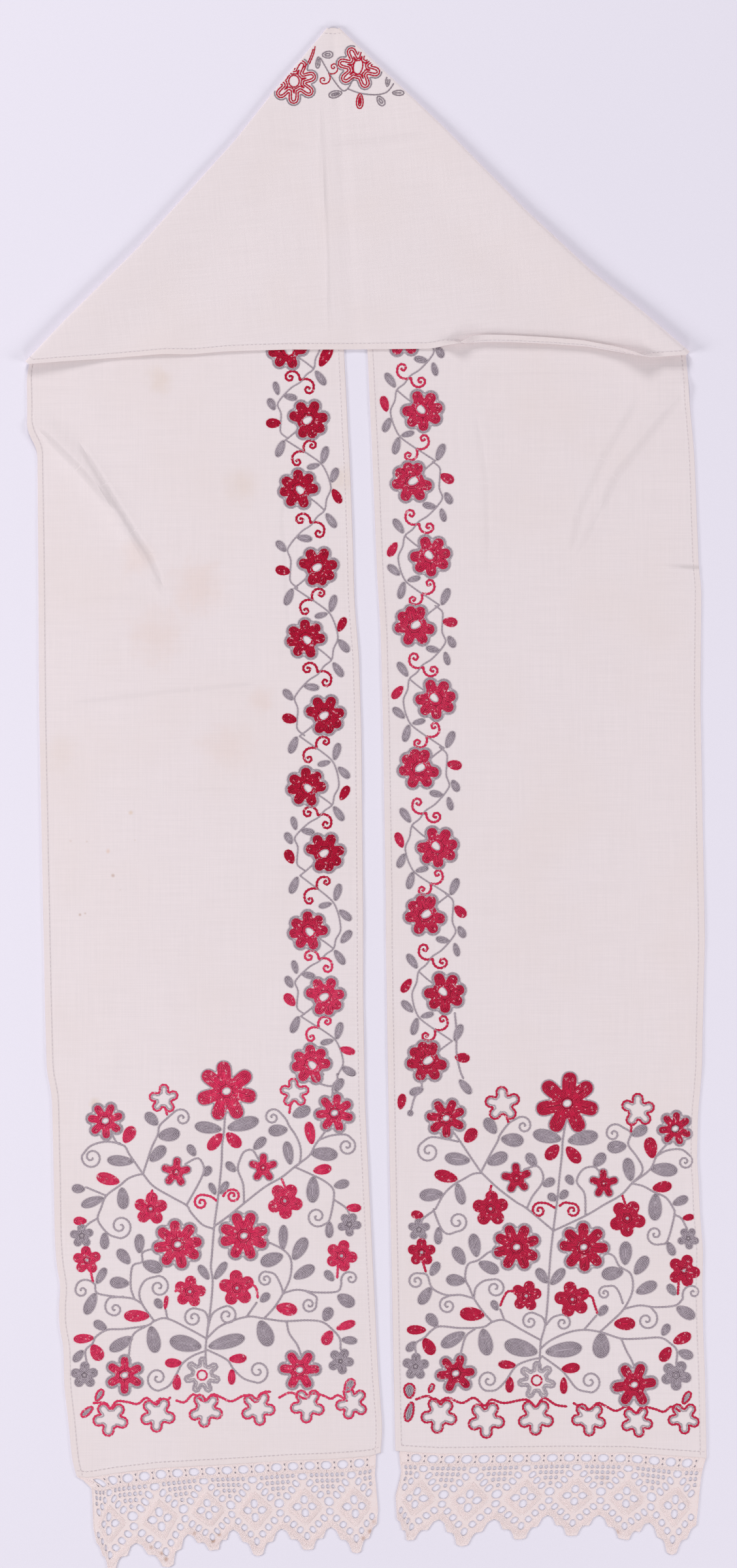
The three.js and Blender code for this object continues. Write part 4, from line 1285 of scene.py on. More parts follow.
class Embroidery:
    """The red and the grey thread of one part of the towel."""

    def __init__(self, surface, keep, settings, seed):
        self.red = ThreadWork(surface, keep)
        self.grey = ThreadWork(surface, keep)
        self.stem_width = settings.stem_width / MM
        self.width = settings.row_width / MM
        self.height = settings.row_height / MM
        self.stitch = settings.stitch_length / MM
        self.gap = settings.row_gap / MM
        self.rng = np.random.default_rng(seed)
        self.stem_points = []
        self.padded = True

    def row(self, work, path, closed=False, width=None):
        work.chain(path, closed, width or self.width, self.height, self.stitch)

    def leaves(self, leaves, work, edge_work=None):
        points = np.vstack(self.stem_points) if self.stem_points else []
        for leaf in leaves:
            leaf = footed(leaf, points)
            if edge_work:
                line = OUTER_LINE_SHARE * self.stem_width
                self.row(edge_work, leaf_outline(*leaf, 0.5 * line), True, line)
                x, y, length, width, axis = leaf
                leaf = (x, y, length - 2 * line, width - 2 * line, axis)
            under = leaf_outline(*leaf, 0.4 * self.gap)
            middle = np.array(leaf[:2])
            if self.padded:
                work.pad(under, middle + 0.1 * (under - middle), PAD_HEIGHT)
            for path, closed in leaf_rows(*leaf, self.gap):
                self.row(work, path, closed)

    def stems(self, stems, work, share=1.0):
        for stem in stems:
            self.stem(stem_path(stem), work, share)

    def stem(self, path, work, share):
        self.stem_points.append(path)
        self.row(work, path, False, share * self.stem_width)

    def flower(self, x, y, radius, angles, outline_rows, form, hole, ring, thread):
        """A flower of closed rows: its outline, its petals filled row by row, and its ring."""
        middle = np.array([x, y])
        gap = self.gap
        reach = radius - outline_rows * gap
        petal_width = reach * form[0]
        base = reach * form[1]
        shape = (angles, reach, petal_width, base)
        for row in range(outline_rows):
            self.row(self.grey, middle + petal_row(*shape, (row + 0.5) * gap), True)
        level = -gap / 2
        while -level < petal_width:
            self.row(thread, middle + petal_row(*shape, level), True)
            level -= gap
        rib = petal_width + level + gap / 2
        if rib > 0.3 * gap:
            for angle in angles:
                heading = heading_of(angle)
                ends = [0.8 * base * heading, (reach - petal_width) * heading]
                self.row(thread, middle + np.array(ends), False)
        inner = oval_outline(x + hole[0], y + hole[1], *hole[2:])
        outer = oval_outline(x, y, 2 * (base + level), 2 * (base + level), 0)
        if self.padded:
            under = oval_outline(x + hole[0], y + hole[1], *hole[2:], 120)
            thread.pad(middle + petal_row(*shape, -0.2), under, PAD_HEIGHT)
        if base + level > 0.5 * hole[3] + gap:
            for path in ring_rows(outer, inner, gap):
                self.row(thread, path, True)
        if ring:
            self.row(self.grey, inner, True)

    def filled_flowers(self, flowers, kind=None):
        """Flowers of a kind, or else with a grey outline in one of three sizes."""
        for x, y, radius, petals, first_angle in flowers:
            angles = petal_angles(petals, first_angle, self.rng)
            size = "small" if radius < 20 else "large" if radius > 34 else "medium"
            outline_rows, form, hole, ring = FLOWER_FORMS[kind or size]
            thread = self.grey if kind == "grey" else self.red
            self.flower(x, y, radius, angles, outline_rows, form, (0, 0, *hole), ring, thread)

    def hollow_flowers(self, flowers, outer, form):
        """Flowers of an outline and a grey row within it."""
        for x, y, radius, petals, first_angle in flowers:
            angles = petal_angles(petals, first_angle, self.rng)
            shape = (angles, radius, radius * form[0], radius * form[1])
            middle = np.array([x, y])
            line = OUTER_LINE_SHARE * self.stem_width
            self.row(outer, middle + petal_row(*shape, -0.5 * line), True, line)
            inward = -line - 0.5 * self.gap
            self.row(self.grey, middle + petal_row(*shape, inward), True)

    def build(self, name, materials):
        red = self.red.build(name + "_red", materials["red_thread"])
        grey = self.grey.build(name + "_grey", materials["grey_thread"])
        return [red, grey]


def end_embroidery(side, settings, surface):
    """The flowering tree of one end, with the row of flowers under it."""
    work = Embroidery(surface, None, settings, SEED + (1 if side == "left" else 2))
    stems, red_stems, grey_leaves, red_leaves, *flowers = END_TABLES[side]
    outlined, plain, hollow, grey, double = flowers
    mixed_leaves = [leaf for leaf in MIXED_LEAVES if (leaf[0] < SLOT_X) == (side == "left")]
    work.stems(stems, work.grey)
    work.stems(red_stems, work.red, SCROLL_SHARE)
    work.leaves(grey_leaves, work.grey)
    work.leaves(red_leaves, work.red)
    work.leaves(mixed_leaves, work.grey, work.red)
    work.filled_flowers(outlined)
    work.filled_flowers(plain, "plain")
    work.hollow_flowers(hollow, work.red, HOLLOW_FORM)
    work.filled_flowers(grey, "grey")
    work.hollow_flowers([double], work.grey, DOUBLE_FORM)
    x, y, radius = double[:3]
    work.row(work.red, oval_outline(x, y, 0.5 * radius, 0.5 * radius, 0), True, work.stem_width)
    return work


def border_embroidery(side, settings, surface):
    """The border of one arm, as repeats stretched from one near flower to the next."""
    flowers, repeats, radius, end_y, out_sign = BORDERS[side]

    def under_front(x, y):
        return y < read(FRONT_EDGE, x, 1) + HIDDEN_REACH

    def keep(x, y):
        return under_front(x, y) & (y > end_y)

    work = Embroidery(surface, keep, settings, SEED + (3 if side == "left" else 4))
    for start, (first, first_axis, second, second_axis, turn_leaves, bud_axis) in enumerate(repeats):
        stops = flowers[2 * start:2 * start + 3]

        def place(points, stops=stops):
            points = np.atleast_2d(np.asarray(points, dtype=float))
            rows = [(at, x, y) for at, (x, y) in zip(REPEAT_FLOWERS_AT, stops)]
            x = read(rows, points[:, 0], 1) + out_sign * points[:, 1]
            y = read_beyond(rows, points[:, 0], 2)
            return np.column_stack([x, y])

        work.stem_points = []
        work.stem(smooth_path(place(REPEAT_VINE)), work.grey, VINE_SHARE)
        for stalk in REPEAT_STALKS:
            work.stem(smooth_path(place(stalk)), work.grey, VINE_SHARE)
        near, far = SIDE_GROWTHS
        if second == "long bud":
            far = (*far[:2], *LONG_BUD)
        growths = [("leaf", row) for row in REPEAT_LEAVES + TURN_LEAVES[turn_leaves]]
        growths += [(first, (*near, first_axis)), (second, (*far, second_axis))]
        growths.append(("bud", (*NEAR_BUD, bud_axis)))
        for kind, (along, out, length, width, axis) in growths:
            x, y = place((along, out))[0]
            if keep(x, y):
                work.leaves([(x, y, length, width, axis)], work.grey if kind == "leaf" else work.red)
        for middle_along, middle_out, *ends, turn, size in REPEAT_SCROLLS:
            middle = place((middle_along, middle_out))[0]
            path = scroll_path(middle, place(ends[:2])[0], place(ends[2:])[0], turn, size)
            work.row(work.red, path, False, SCROLL_SHARE * work.stem_width)
        for (x, y), angles, hole in zip(stops, (NEAR_PETALS, FAR_PETALS), (NEAR_HOLE, FAR_HOLE)):
            if y > end_y:
                turned = [angle + 90 - 90 * out_sign for angle in angles]
                hole = (hole[0] * out_sign, hole[1] * out_sign, *hole[2:])
                work.red.keep = work.grey.keep = under_front
                work.flower(x, y, radius, turned, 2, BORDER_FORM, hole, True, work.red)
                work.red.keep = work.grey.keep = keep
    return work


def read_beyond(rows, places, column):
    """Reads a table straight between its rows, and on past its ends at the same slope."""
    inside = read(rows, places, column)
    first_slope = (rows[1][column] - rows[0][column]) / (rows[1][0] - rows[0][0])
    last_slope = (rows[-1][column] - rows[-2][column]) / (rows[-1][0] - rows[-2][0])
    before = np.minimum(places - rows[0][0], 0) * first_slope
    after = np.maximum(places - rows[-1][0], 0) * last_slope
    return inside + before + after


def reverse_embroidery(settings, surface):
    """The border's wrong side at the point of the triangle: thin rows, a little apart."""
    def keep(x, y):
        inside = y < APEX_LEFT[1] - TIP_MARGIN
        for fold in FOLDS:
            inside = inside & (outside_fold(fold, x, y) < -FOLD_MARGIN)
        return inside

    work = Embroidery(surface, keep, settings, SEED + 5)
    work.padded = False
    for name, share in REVERSE_SHARES.items():
        setattr(work, name, share * getattr(work, name))
    work.stems(REVERSE_STEMS, work.grey)
    work.stems(REVERSE_RED_STEMS, work.red)
    for x, y, radius, angles, hole in REVERSE_FLOWERS:
        work.flower(x, y, radius, angles, 1, REVERSE_FORM, hole, False, work.red)
        work.row(work.red, oval_outline(x + hole[0], y + hole[1], *hole[2:]), True)
    work.leaves(REVERSE_GREY_LEAVES, work.grey)
    work.leaves(REVERSE_BUDS, work.red)
    for middle_x, middle_y, *ends, turn, size in REVERSE_SCROLLS:
        path = scroll_path((middle_x, middle_y), ends[:2], ends[2:], turn, size)
        work.row(work.red, path, False, work.stem_width)
    return work


# Tables of each end: grey stems, red stems, grey leaves, red leaves, then its flowers
END_TABLES = {
    "left": (
        LEFT_STEMS + BORDER_END_STEMS[:2], LEFT_RED_STEMS + LEFT_WAVE,
        LEFT_GREY_LEAVES, LEFT_RED_LEAVES, LEFT_OUTLINED_FLOWERS, LEFT_PLAIN_FLOWERS,
        LEFT_HOLLOW_FLOWERS, LEFT_GREY_FLOWERS, LEFT_DOUBLE_FLOWER,
    ),
    "right": (
        RIGHT_STEMS + BORDER_END_STEMS[2:], RIGHT_RED_STEMS + RIGHT_WAVE,
        RIGHT_GREY_LEAVES, RIGHT_RED_LEAVES, RIGHT_OUTLINED_FLOWERS, RIGHT_PLAIN_FLOWERS,
        RIGHT_HOLLOW_FLOWERS, RIGHT_GREY_FLOWERS, RIGHT_DOUBLE_FLOWER,
    ),
}
# Flowers of each arm's border, its repeats, the flowers' radius, where it ends, and the way out
BORDERS = {
    "left": (LEFT_BORDER, LEFT_REPEATS, 25.5, -318, 1),
    "right": (RIGHT_BORDER, RIGHT_REPEATS, 26.5, -325, -1),
}


def stitch_row(grid, normals, inset, settings):
    """Small stitches through the cloth at one distance from its edge, as closed bodies."""
    steps = np.linalg.norm(np.diff(grid, axis=1), axis=2)
    travelled = np.pad(np.cumsum(steps, axis=1), [(0, 0), (1, 0)])

    def at_inset(values):
        return np.array([
            [np.interp(inset, along, row[:, axis]) for axis in range(3)]
            for row, along in zip(values, travelled)
        ])

    line = at_inset(grid)
    upward = at_inset(normals)
    upward *= np.where(upward[:, 2:] < 0, -1, 1)
    passed = np.pad(np.cumsum(np.linalg.norm(np.diff(line, axis=0), axis=1)), (1, 0))
    starts = np.arange(HEM_STITCH_GAP, passed[-1] - 2 * HEM_STITCH, HEM_STITCH + HEM_STITCH_GAP)

    def at(places, values):
        return np.column_stack([np.interp(places, passed, values[:, axis]) for axis in range(3)])

    ends = [at(starts, line), at(starts + HEM_STITCH, line)]
    up = at(starts, upward)
    up /= np.linalg.norm(up, axis=1, keepdims=True)
    side = np.cross(up, ends[1] - ends[0])
    side *= HEM_STITCH_WIDTH / 2 / np.linalg.norm(side, axis=1, keepdims=True)
    low = settings.hem_thickness / MM / 2 - HEM_STITCH_DEPTH
    sections = []
    for end in ends:
        for out, lift in ((-1, 0), (-0.5, HEM_STITCH_RISE), (0.5, HEM_STITCH_RISE), (1, 0)):
            sections.append(end + out * side + (low + lift) * up)
    return np.stack(sections, axis=1)


def hem_stitching(settings):
    """The sewing of all four hems: both long edges of the strip and its two ends."""
    grid = sheet_grid()[0]
    normals = grid_normals(grid)
    turned = (grid.transpose(1, 0, 2), normals.transpose(1, 0, 2))
    work = ThreadWork(None)
    for points, facing in ((grid, normals), turned):
        for flip in (1, -1):
            for body in stitch_row(points[:, ::flip], facing[:, ::flip], HEM_WIDTH, settings):
                section = np.column_stack([body, HEM_STITCH_TONES * 2]).reshape(2, 4, 4)
                work.add_body(section, False)
    return work


def lace_map(lace, hem):
    """Lays the crochet's own plan, in repeats and millimetres down, under one end hem."""
    def place(repeat, down):
        repeat = np.asarray(repeat, dtype=float)
        down = np.asarray(down, dtype=float)
        hem_x = lace["hem"][0] + (lace["hem"][1] - lace["hem"][0]) * repeat / LACE_REPEATS
        hem_y = read(hem, hem_x, 1) - SEWN_GAP
        foot_x = read(lace["foot"], repeat, 1)
        foot_y = read(lace["foot"], repeat, 2)
        pull = read(lace["pulled_in"], down, 1) * fade(repeat, 1)
        pull = pull - read(lace["pulled_in"], down, 2) * fade(LACE_REPEATS - repeat, 1)
        drop = down / LACE_DEPTH
        x = hem_x + (foot_x - hem_x) * drop + pull
        y = hem_y + (foot_y - hem_y) * drop
        return np.column_stack([np.atleast_1d(x), np.atleast_1d(y)])

    return place


def lace_outline(place):
    """The edging's own outline, from the right end of the hem round to its right side."""
    across = np.linspace(LACE_REPEATS, 0, 80)
    parts = [place(across, np.zeros(80)), place(np.zeros(8), np.linspace(*LACE_SIDE, 8))]
    for index in range(LACE_REPEATS):
        parts.append(place(index, LACE_VALLEY))
        repeat = [index + 0.5 + row[0] / LACE_REPEAT_WIDTH for row in LACE_OUTLINE]
        parts.append(place(repeat, [row[1] for row in LACE_OUTLINE]))
    parts.append(place(LACE_REPEATS, LACE_VALLEY))
    parts.append(place(np.full(8, LACE_REPEATS), np.linspace(*LACE_SIDE[::-1], 8)))
    return np.vstack(parts)


def hole_outline(place, repeat_middle, across, down, width, height, turned=0, points=14):
    """A hole with soft corners, in the edging's own plan and then laid under the hem."""
    turn = np.linspace(0, 2 * np.pi, points, endpoint=False)
    corners = np.abs(np.cos(turn)) ** ROUNDING + np.abs(np.sin(turn)) ** ROUNDING
    reach = corners ** (-1 / ROUNDING)
    out = (HOLE_SHARE * width + HOLE_EDGE) * reach * np.cos(turn)
    low = (HOLE_SHARE * height + HOLE_EDGE) * reach * np.sin(turn)
    ahead = heading_of(turned)
    repeat = (across + out * ahead[0] - low * ahead[1]) / LACE_REPEAT_WIDTH
    return place(repeat_middle + repeat, down + out * ahead[1] + low * ahead[0])


def lace_holes(place):
    """Every hole of one edging, each as a closed outline."""
    holes = []
    for index in range(LACE_REPEATS):
        for across, *hole, turned in LACE_HOLES:
            for side in (-1, 1) if across else (1,):
                holes.append(hole_outline(place, index + 0.5, side * across, *hole, side * turned))
        for across in LACE_CROSSINGS:
            for down, width, height in LACE_CROSSING_HOLES:
                holes.append(hole_outline(place, index + 0.5, across, down, width, height, 0, 8))
    for seam in range(LACE_REPEATS + 1):
        inside = 0 < seam < LACE_REPEATS
        if inside:
            for hole in LACE_SEAM_HOLES:
                holes.append(hole_outline(place, seam, *hole))
        for down, squares in LACE_SQUARE_ROWS:
            for square in range(squares):
                across = (square - (squares - 1) / 2) * LACE_SQUARE_PITCH
                middle = seam + across / LACE_REPEAT_WIDTH
                if 0.06 < middle < LACE_REPEATS - 0.06:
                    holes.append(hole_outline(place, seam, across, down, *LACE_SQUARE, 0, 8))
    return holes


def filled_plan(outline, holes, middle, thickness):
    """A flat plate with holes: its points in millimetres and its faces."""
    curve = bpy.data.curves.new("crochet_plan", "CURVE")
    curve.dimensions = "2D"
    curve.fill_mode = "BOTH"
    curve.extrude = thickness / 2
    for line in [outline, *holes]:
        spline = curve.splines.new("POLY")
        spline.points.add(len(line) - 1)
        flat = np.column_stack([line, np.zeros(len(line)), np.ones(len(line))])
        spline.points.foreach_set("co", flat.ravel())
        spline.use_cyclic_u = True
    carrier = bpy.data.objects.new("crochet_plan", curve)
    mesh = bpy.data.meshes.new_from_object(carrier)
    points = np.array([vertex.co for vertex in mesh.vertices])
    points[:, 2] += middle
    faces = [list(polygon.vertices) for polygon in mesh.polygons]
    bpy.data.objects.remove(carrier)
    bpy.data.curves.remove(curve)
    bpy.data.meshes.remove(mesh)
    return points, faces


def lace_posts(work, place, yarn):
    """The upright stitches of the bands and of the heading."""
    def post(index, ends, step):
        repeat = np.clip(index + 0.5 + ends[:, 0] / LACE_REPEAT_WIDTH, 0, LACE_REPEATS)
        path = place(repeat, ends[:, 1])
        work.cord(path, yarn * LACE_POST_SHARE, step=step, middle=yarn, rise=0.25 * yarn)

    for width, closes, line in LACE_BANDS:
        spine = resample(line, round(path_length(line, closes) / (2.5 * yarn)), closes)
        side = headings(spine)[1] * width / 2
        for index in range(LACE_REPEATS):
            for middle, reach in zip(spine, side):
                post(index, np.array([middle - reach, middle, middle + reach]), 2.2)
    top, foot = LACE_CROSSING_SPAN
    for index in range(LACE_REPEATS):
        for middle in LACE_CROSSINGS:
            for lean in (-LACE_CROSSING_LEAN, LACE_CROSSING_LEAN):
                post(index, np.array([[middle + lean, top], [middle - lean, foot]]), 2.0)


def make_lace(side, hem, settings, cotton):
    """One crochet edging: its plate of close stitches, the loops round its holes, its posts."""
    place = lace_map(LACES[side], hem)
    yarn = settings.yarn_diameter / MM / 2
    work = ThreadWork(lambda x, y: np.zeros(np.shape(x)))
    outline = lace_outline(place)
    holes = lace_holes(place)
    plate, faces = filled_plan(outline, holes, yarn, 0.8 * yarn)
    work.points.append(np.column_stack([plate, np.full(len(plate), PLATE_RISE)]))
    work.faces.extend(faces)
    work.count += len(plate)
    for hole in holes:
        work.cord(hole, yarn, True, step=2.0, middle=yarn, knots=0.14)
    edge = yarn * LACE_EDGE_SHARE
    work.cord(outline, edge, True, middle=edge, knots=0.25)
    for down in LACE_ROWS:
        row = place(np.linspace(0.02, LACE_REPEATS - 0.02, 120), np.full(120, down))
        work.chain(row, False, 2.2, 1.9 * yarn, 2.6)
    lace_posts(work, place, yarn)
    piece = work.build(f"lace_{side}_crochet", cotton)
    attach(piece, "root")
    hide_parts(f"lace_{side}")
    return piece


# Vector operations that give a number, and the two kinds of sockets of the node groups
NUMBER_RESULTS = ("DOT_PRODUCT", "LENGTH", "DISTANCE")
VECTOR = "NodeSocketVector"
NUMBER = "NodeSocketFloat"


def new_node(tree, kind, inputs=None, **settings):
    """Adds a node, sets it up, and sets or links its inputs by name or number."""
    node = tree.nodes.new(kind)
    for name, value in settings.items():
        setattr(node, name, value)
    for name, value in (inputs or {}).items():
        if isinstance(value, bpy.types.NodeSocket):
            tree.links.new(value, node.inputs[name])
        else:
            node.inputs[name].default_value = value
    return node


def math_node(tree, operation, first, second=0.0):
    return new_node(tree, "ShaderNodeMath", {0: first, 1: second}, operation=operation).outputs[0]


def vector_math(tree, operation, *values, **named):
    """A vector node's result: a number for a length or a product, and else a vector."""
    inputs = {**dict(enumerate(values)), **named}
    node = new_node(tree, "ShaderNodeVectorMath", inputs, operation=operation)
    return node.outputs["Value" if operation in NUMBER_RESULTS else "Vector"]


def mix_colour(tree, part, first, second, blend="MIX"):
    inputs = {0: part, 6: first, 7: second}
    return new_node(tree, "ShaderNodeMix", inputs, data_type="RGBA", blend_type=blend).outputs[2]


def map_range(tree, value, low, high, to_low=0.0, to_high=1.0):
    """A smooth step from one range of numbers to another."""
    return new_node(tree, "ShaderNodeMapRange", {
        "Value": value, "From Min": low, "From Max": high, "To Min": to_low, "To Max": to_high,
    }, interpolation_type="SMOOTHSTEP").outputs["Result"]


def noise(tree, place, scale, detail, roughness=0.5, result="Fac"):
    return new_node(tree, "ShaderNodeTexNoise", {
        "Vector": place, "Scale": scale, "Detail": detail, "Roughness": roughness,
    }).outputs[result]


def bump(tree, height, distance, strength, **normal):
    return new_node(tree, "ShaderNodeBump", {
        "Height": height, "Distance": distance, "Strength": strength, **normal,
    }).outputs["Normal"]


def attribute(tree, name):
    return new_node(tree, "ShaderNodeAttribute", attribute_name=name).outputs["Fac"]


def group_node(tree, group, inputs):
    return new_node(tree, "ShaderNodeGroup", inputs, node_tree=group)


def new_group(name, vectors, numbers, outputs):
    """A shader node group with named sockets, and the sockets inside it."""
    tree = bpy.data.node_groups.new(name, "ShaderNodeTree")
    for label in vectors:
        tree.interface.new_socket(label, in_out="INPUT", socket_type=VECTOR)
    for label, default in numbers.items():
        socket = tree.interface.new_socket(label, in_out="INPUT", socket_type=NUMBER)
        socket.default_value = default
    for label, kind in outputs.items():
        tree.interface.new_socket(label, in_out="OUTPUT", socket_type=kind)
    enter = tree.nodes.new("NodeGroupInput").outputs
    leave = tree.nodes.new("NodeGroupOutput").inputs
    return tree, enter, leave


def make_weave_group():
    """Plain weave: the height of crossing threads, and the tone of their uneven thickness."""
    tree, enter, leave = new_group(
        "Plain Weave", ["Vector"], {"Threads Per Metre": 1200.0}, {"Height": NUMBER, "Tone": NUMBER})
    place = vector_math(tree, "SCALE", enter["Vector"], Scale=enter["Threads Per Metre"])
    parts = new_node(tree, "ShaderNodeSeparateXYZ", {0: place})
    waves = []
    for axis in ("X", "Y"):
        turned = math_node(tree, "MULTIPLY", parts.outputs[axis], math.pi)
        waves.append(math_node(tree, "SINE", turned))
    crossing = math_node(tree, "MULTIPLY", *waves)
    tones = []
    for stretch in ((0.012, 0.5, 1.0), (0.5, 0.012, 1.0)):
        drawn = vector_math(tree, "MULTIPLY", place, stretch)
        tones.append(noise(tree, drawn, 1.0, 2.0, 0.6))
    tone = math_node(tree, "MULTIPLY", math_node(tree, "ADD", *tones), 0.5)
    lift = math_node(tree, "MULTIPLY", crossing, 0.5)
    height = math_node(tree, "ADD", lift, math_node(tree, "MULTIPLY", tone, 1.2))
    tree.links.new(height, leave["Height"])
    tree.links.new(tone, leave["Tone"])
    return tree


def make_spun_group():
    """Spun thread: the height of its fibres, and the tone of worn and fresh places."""
    tree, enter, leave = new_group(
        "Spun Thread", ["Vector"], {"Fibre Scale": 1800.0, "Wear Scale": 160.0},
        {"Height": NUMBER, "Tone": NUMBER})
    fibre = noise(tree, enter["Vector"], enter["Fibre Scale"], 2.0, 0.65)
    wear = noise(tree, enter["Vector"], enter["Wear Scale"], 3.0, 0.7)
    tree.links.new(fibre, leave["Height"])
    tree.links.new(map_range(tree, wear, 0.3, 0.7), leave["Tone"])
    return tree


def make_crease_group():
    """A crease from start to end: the normal leaning away from it, and a mask, 1 on the line."""
    tree, enter, leave = new_group(
        "Crease Line", ["Vector", "Normal", "Start", "End"],
        {"Width": 0.004, "Steepness": 0.2, "Fade In": 0.02, "Fade Out": 0.02},
        {"Normal": VECTOR, "Mask": NUMBER})
    away = vector_math(tree, "SUBTRACT", enter["Vector"], enter["Start"])
    reach = vector_math(tree, "SUBTRACT", enter["End"], enter["Start"])
    along = math_node(tree, "DIVIDE", vector_math(tree, "DOT_PRODUCT", away, reach),
                      vector_math(tree, "DOT_PRODUCT", reach, reach))
    aside = vector_math(tree, "SUBTRACT", away, vector_math(tree, "SCALE", reach, Scale=along))
    distance = vector_math(tree, "LENGTH", aside)
    mask = map_range(tree, distance, enter["Width"], 0.0)
    mask = math_node(tree, "MULTIPLY", mask, map_range(tree, along, 0.0, enter["Fade In"]))
    left_over = math_node(tree, "SUBTRACT", 1.0, along)
    mask = math_node(tree, "MULTIPLY", mask, map_range(tree, left_over, 0.0, enter["Fade Out"]))
    slope = math_node(tree, "MULTIPLY", mask, math_node(tree, "SUBTRACT", 1.0, mask))
    slope = math_node(tree, "MULTIPLY", slope, enter["Steepness"])
    lean = vector_math(tree, "SCALE", vector_math(tree, "NORMALIZE", aside), Scale=slope)
    tree.links.new(vector_math(tree, "ADD", enter["Normal"], lean), leave["Normal"])
    tree.links.new(mask, leave["Mask"])
    return tree


def new_material(name, roughness, sheen, specular):
    """A material with an empty tree but for its shader and output."""
    material = bpy.data.materials.new(name)
    material.use_nodes = True
    tree = material.node_tree
    tree.nodes.clear()
    shader = tree.nodes.new("ShaderNodeBsdfPrincipled")
    output = tree.nodes.new("ShaderNodeOutputMaterial")
    tree.links.new(shader.outputs["BSDF"], output.inputs["Surface"])
    shader.inputs["Roughness"].default_value = roughness
    shader.inputs["Sheen Weight"].default_value = sheen
    shader.inputs["Specular IOR Level"].default_value = specular
    return material, tree, shader.inputs


def scaled(colour, factor=1.0):
    """A colour made darker or paler, with the alpha that a shader takes."""
    return (*(part * factor for part in colour), 1.0)


def even(factor):
    return (factor, factor, factor, 1.0)


# Where the red thread of the older borders grows deeper, up the towel in metres, and its part
# from there to there on the left and on the right side
DEEP_ZONE = (-0.21, -0.09)
DEEP_SHARES = [(0.0, 1.0), (0.7, 0.35)]
SPECK_COLOUR = (1, 0.85, 0.87, 1)
# Colour of the painted shade at the foot of each row of thread and in its grooves
GROOVE_PAINTED_SHADE = (0.30, 0.27, 0.28, 1.0)
HEM_TINT = (0.995, 0.985, 0.975, 1.0)
# Depth of the fibres of a thread and of the weave, in metres
FIBRE_RELIEF = 0.00015
WEAVE_RELIEF = 0.0001
# Marks on the linen: x, y, radius, strength, tint
YELLOW_TINT = (0.80, 0.66, 0.42, 1.0)
ORANGE_TINT = (0.90, 0.68, 0.50, 1.0)
BROWN_TINT = (0.50, 0.30, 0.16, 1.0)
LINEN_MARKS = [
    (-238, 482, 22, 0.22, YELLOW_TINT), (-142, 360, 28, 0.16, YELLOW_TINT),
    (-28, 366, 20, 0.22, YELLOW_TINT), (-261, 275, 30, 0.16, ORANGE_TINT),
    (-193, 243, 44, 0.20, ORANGE_TINT), (-238, 188, 46, 0.16, ORANGE_TINT),
    (-160, 60, 42, 0.14, ORANGE_TINT), (-120, 112, 22, 0.16, ORANGE_TINT),
    (-350, 52, 30, 0.10, YELLOW_TINT), (-270, -16.5, 4, 0.55, YELLOW_TINT),
    (-296, -61, 4, 0.60, ORANGE_TINT), (-290, -88, 3.4, 0.55, BROWN_TINT),
    (-265, -48, 2.4, 0.35, BROWN_TINT), (-339, -49, 2.6, 0.25, BROWN_TINT),
    (-320, -49.5, 2.2, 0.35, BROWN_TINT), (-328, -134, 3, 0.60, BROWN_TINT),
    (-322, -132, 2.4, 0.55, BROWN_TINT), (-282, -105, 2.2, 0.40, BROWN_TINT),
    (-310, -350, 9, 0.35, YELLOW_TINT), (361, 207, 1.6, 0.60, BROWN_TINT),
    (230, 595, 3, -0.30, YELLOW_TINT),
]
# Brown marks on the edgings
LACE_MARKS = [
    (-169, -844, 4, 0.7, BROWN_TINT), (-175.5, -852, 4, 0.75, BROWN_TINT),
    (-197, -844, 3.5, 0.45, BROWN_TINT), (-229, -873, 4, 0.6, BROWN_TINT),
    (-234, -866, 4, 0.5, BROWN_TINT), (-246, -860, 3.5, 0.4, BROWN_TINT),
    (-3, -849, 4, 0.5, BROWN_TINT), (5, -841, 4.5, 0.6, BROWN_TINT), (9, -830, 4, 0.4, BROWN_TINT),
    (272, -779, 5, 0.3, BROWN_TINT), (277, -786, 4, 0.3, BROWN_TINT), (289, -842, 4.5, 0.3, BROWN_TINT),
]


def add_marks(tree, base, place, marks):
    """Lays soft ragged marks over a colour, each darker, or lighter for a negative strength."""
    blur = noise(tree, place, 55.0, 3.0, result="Color")
    shift = vector_math(tree, "SUBTRACT", blur, (0.5, 0.5, 0.5))
    for x, y, radius, strength, tint in marks:
        near = vector_math(tree, "MULTIPLY_ADD", shift, (radius * MM,) * 3, place)
        away = vector_math(tree, "DISTANCE", near, (x * MM, y * MM, 0.002))
        mark = map_range(tree, away, radius * MM, 0.1 * radius * MM, 0.0, abs(strength))
        base = mix_colour(tree, mark, base, tint, "MULTIPLY" if strength > 0 else "DIVIDE")
    return base


def add_creases(tree, base, place, crease):
    """Paints shade along the sharp creases into a colour, a painted highlight where the darkening is
    negative, and leans the normal away from each of them.
    """
    flat = vector_math(tree, "MULTIPLY", place, (1, 1, 0))
    normal = new_node(tree, "ShaderNodeNewGeometry").outputs["Normal"]
    for width, height, darker, points in SHARP_CREASES:
        line = 0.0
        last = len(points) - 2
        for number, (start, end) in enumerate(zip(points[:-1], points[1:])):
            part = group_node(tree, crease, {
                "Vector": flat, "Normal": normal,
                "Start": (start[0] * MM, start[1] * MM, 0), "End": (end[0] * MM, end[1] * MM, 0),
                "Width": width * MM, "Steepness": 6 * height / width,
                "Fade In": FREE_END if number == 0 else JOINT,
                "Fade Out": FREE_END if number == last else JOINT,
            })
            normal = part.outputs["Normal"]
            line = math_node(tree, "MAXIMUM", part.outputs["Mask"], line)
        # Painted shade along the crease, or a painted highlight where its darkening is negative
        if darker:
            shade = map_range(tree, line, 0.45, 1.0)
            base = mix_colour(tree, shade, base, even(1 - darker), "MULTIPLY")
    return base, vector_math(tree, "NORMALIZE", normal)


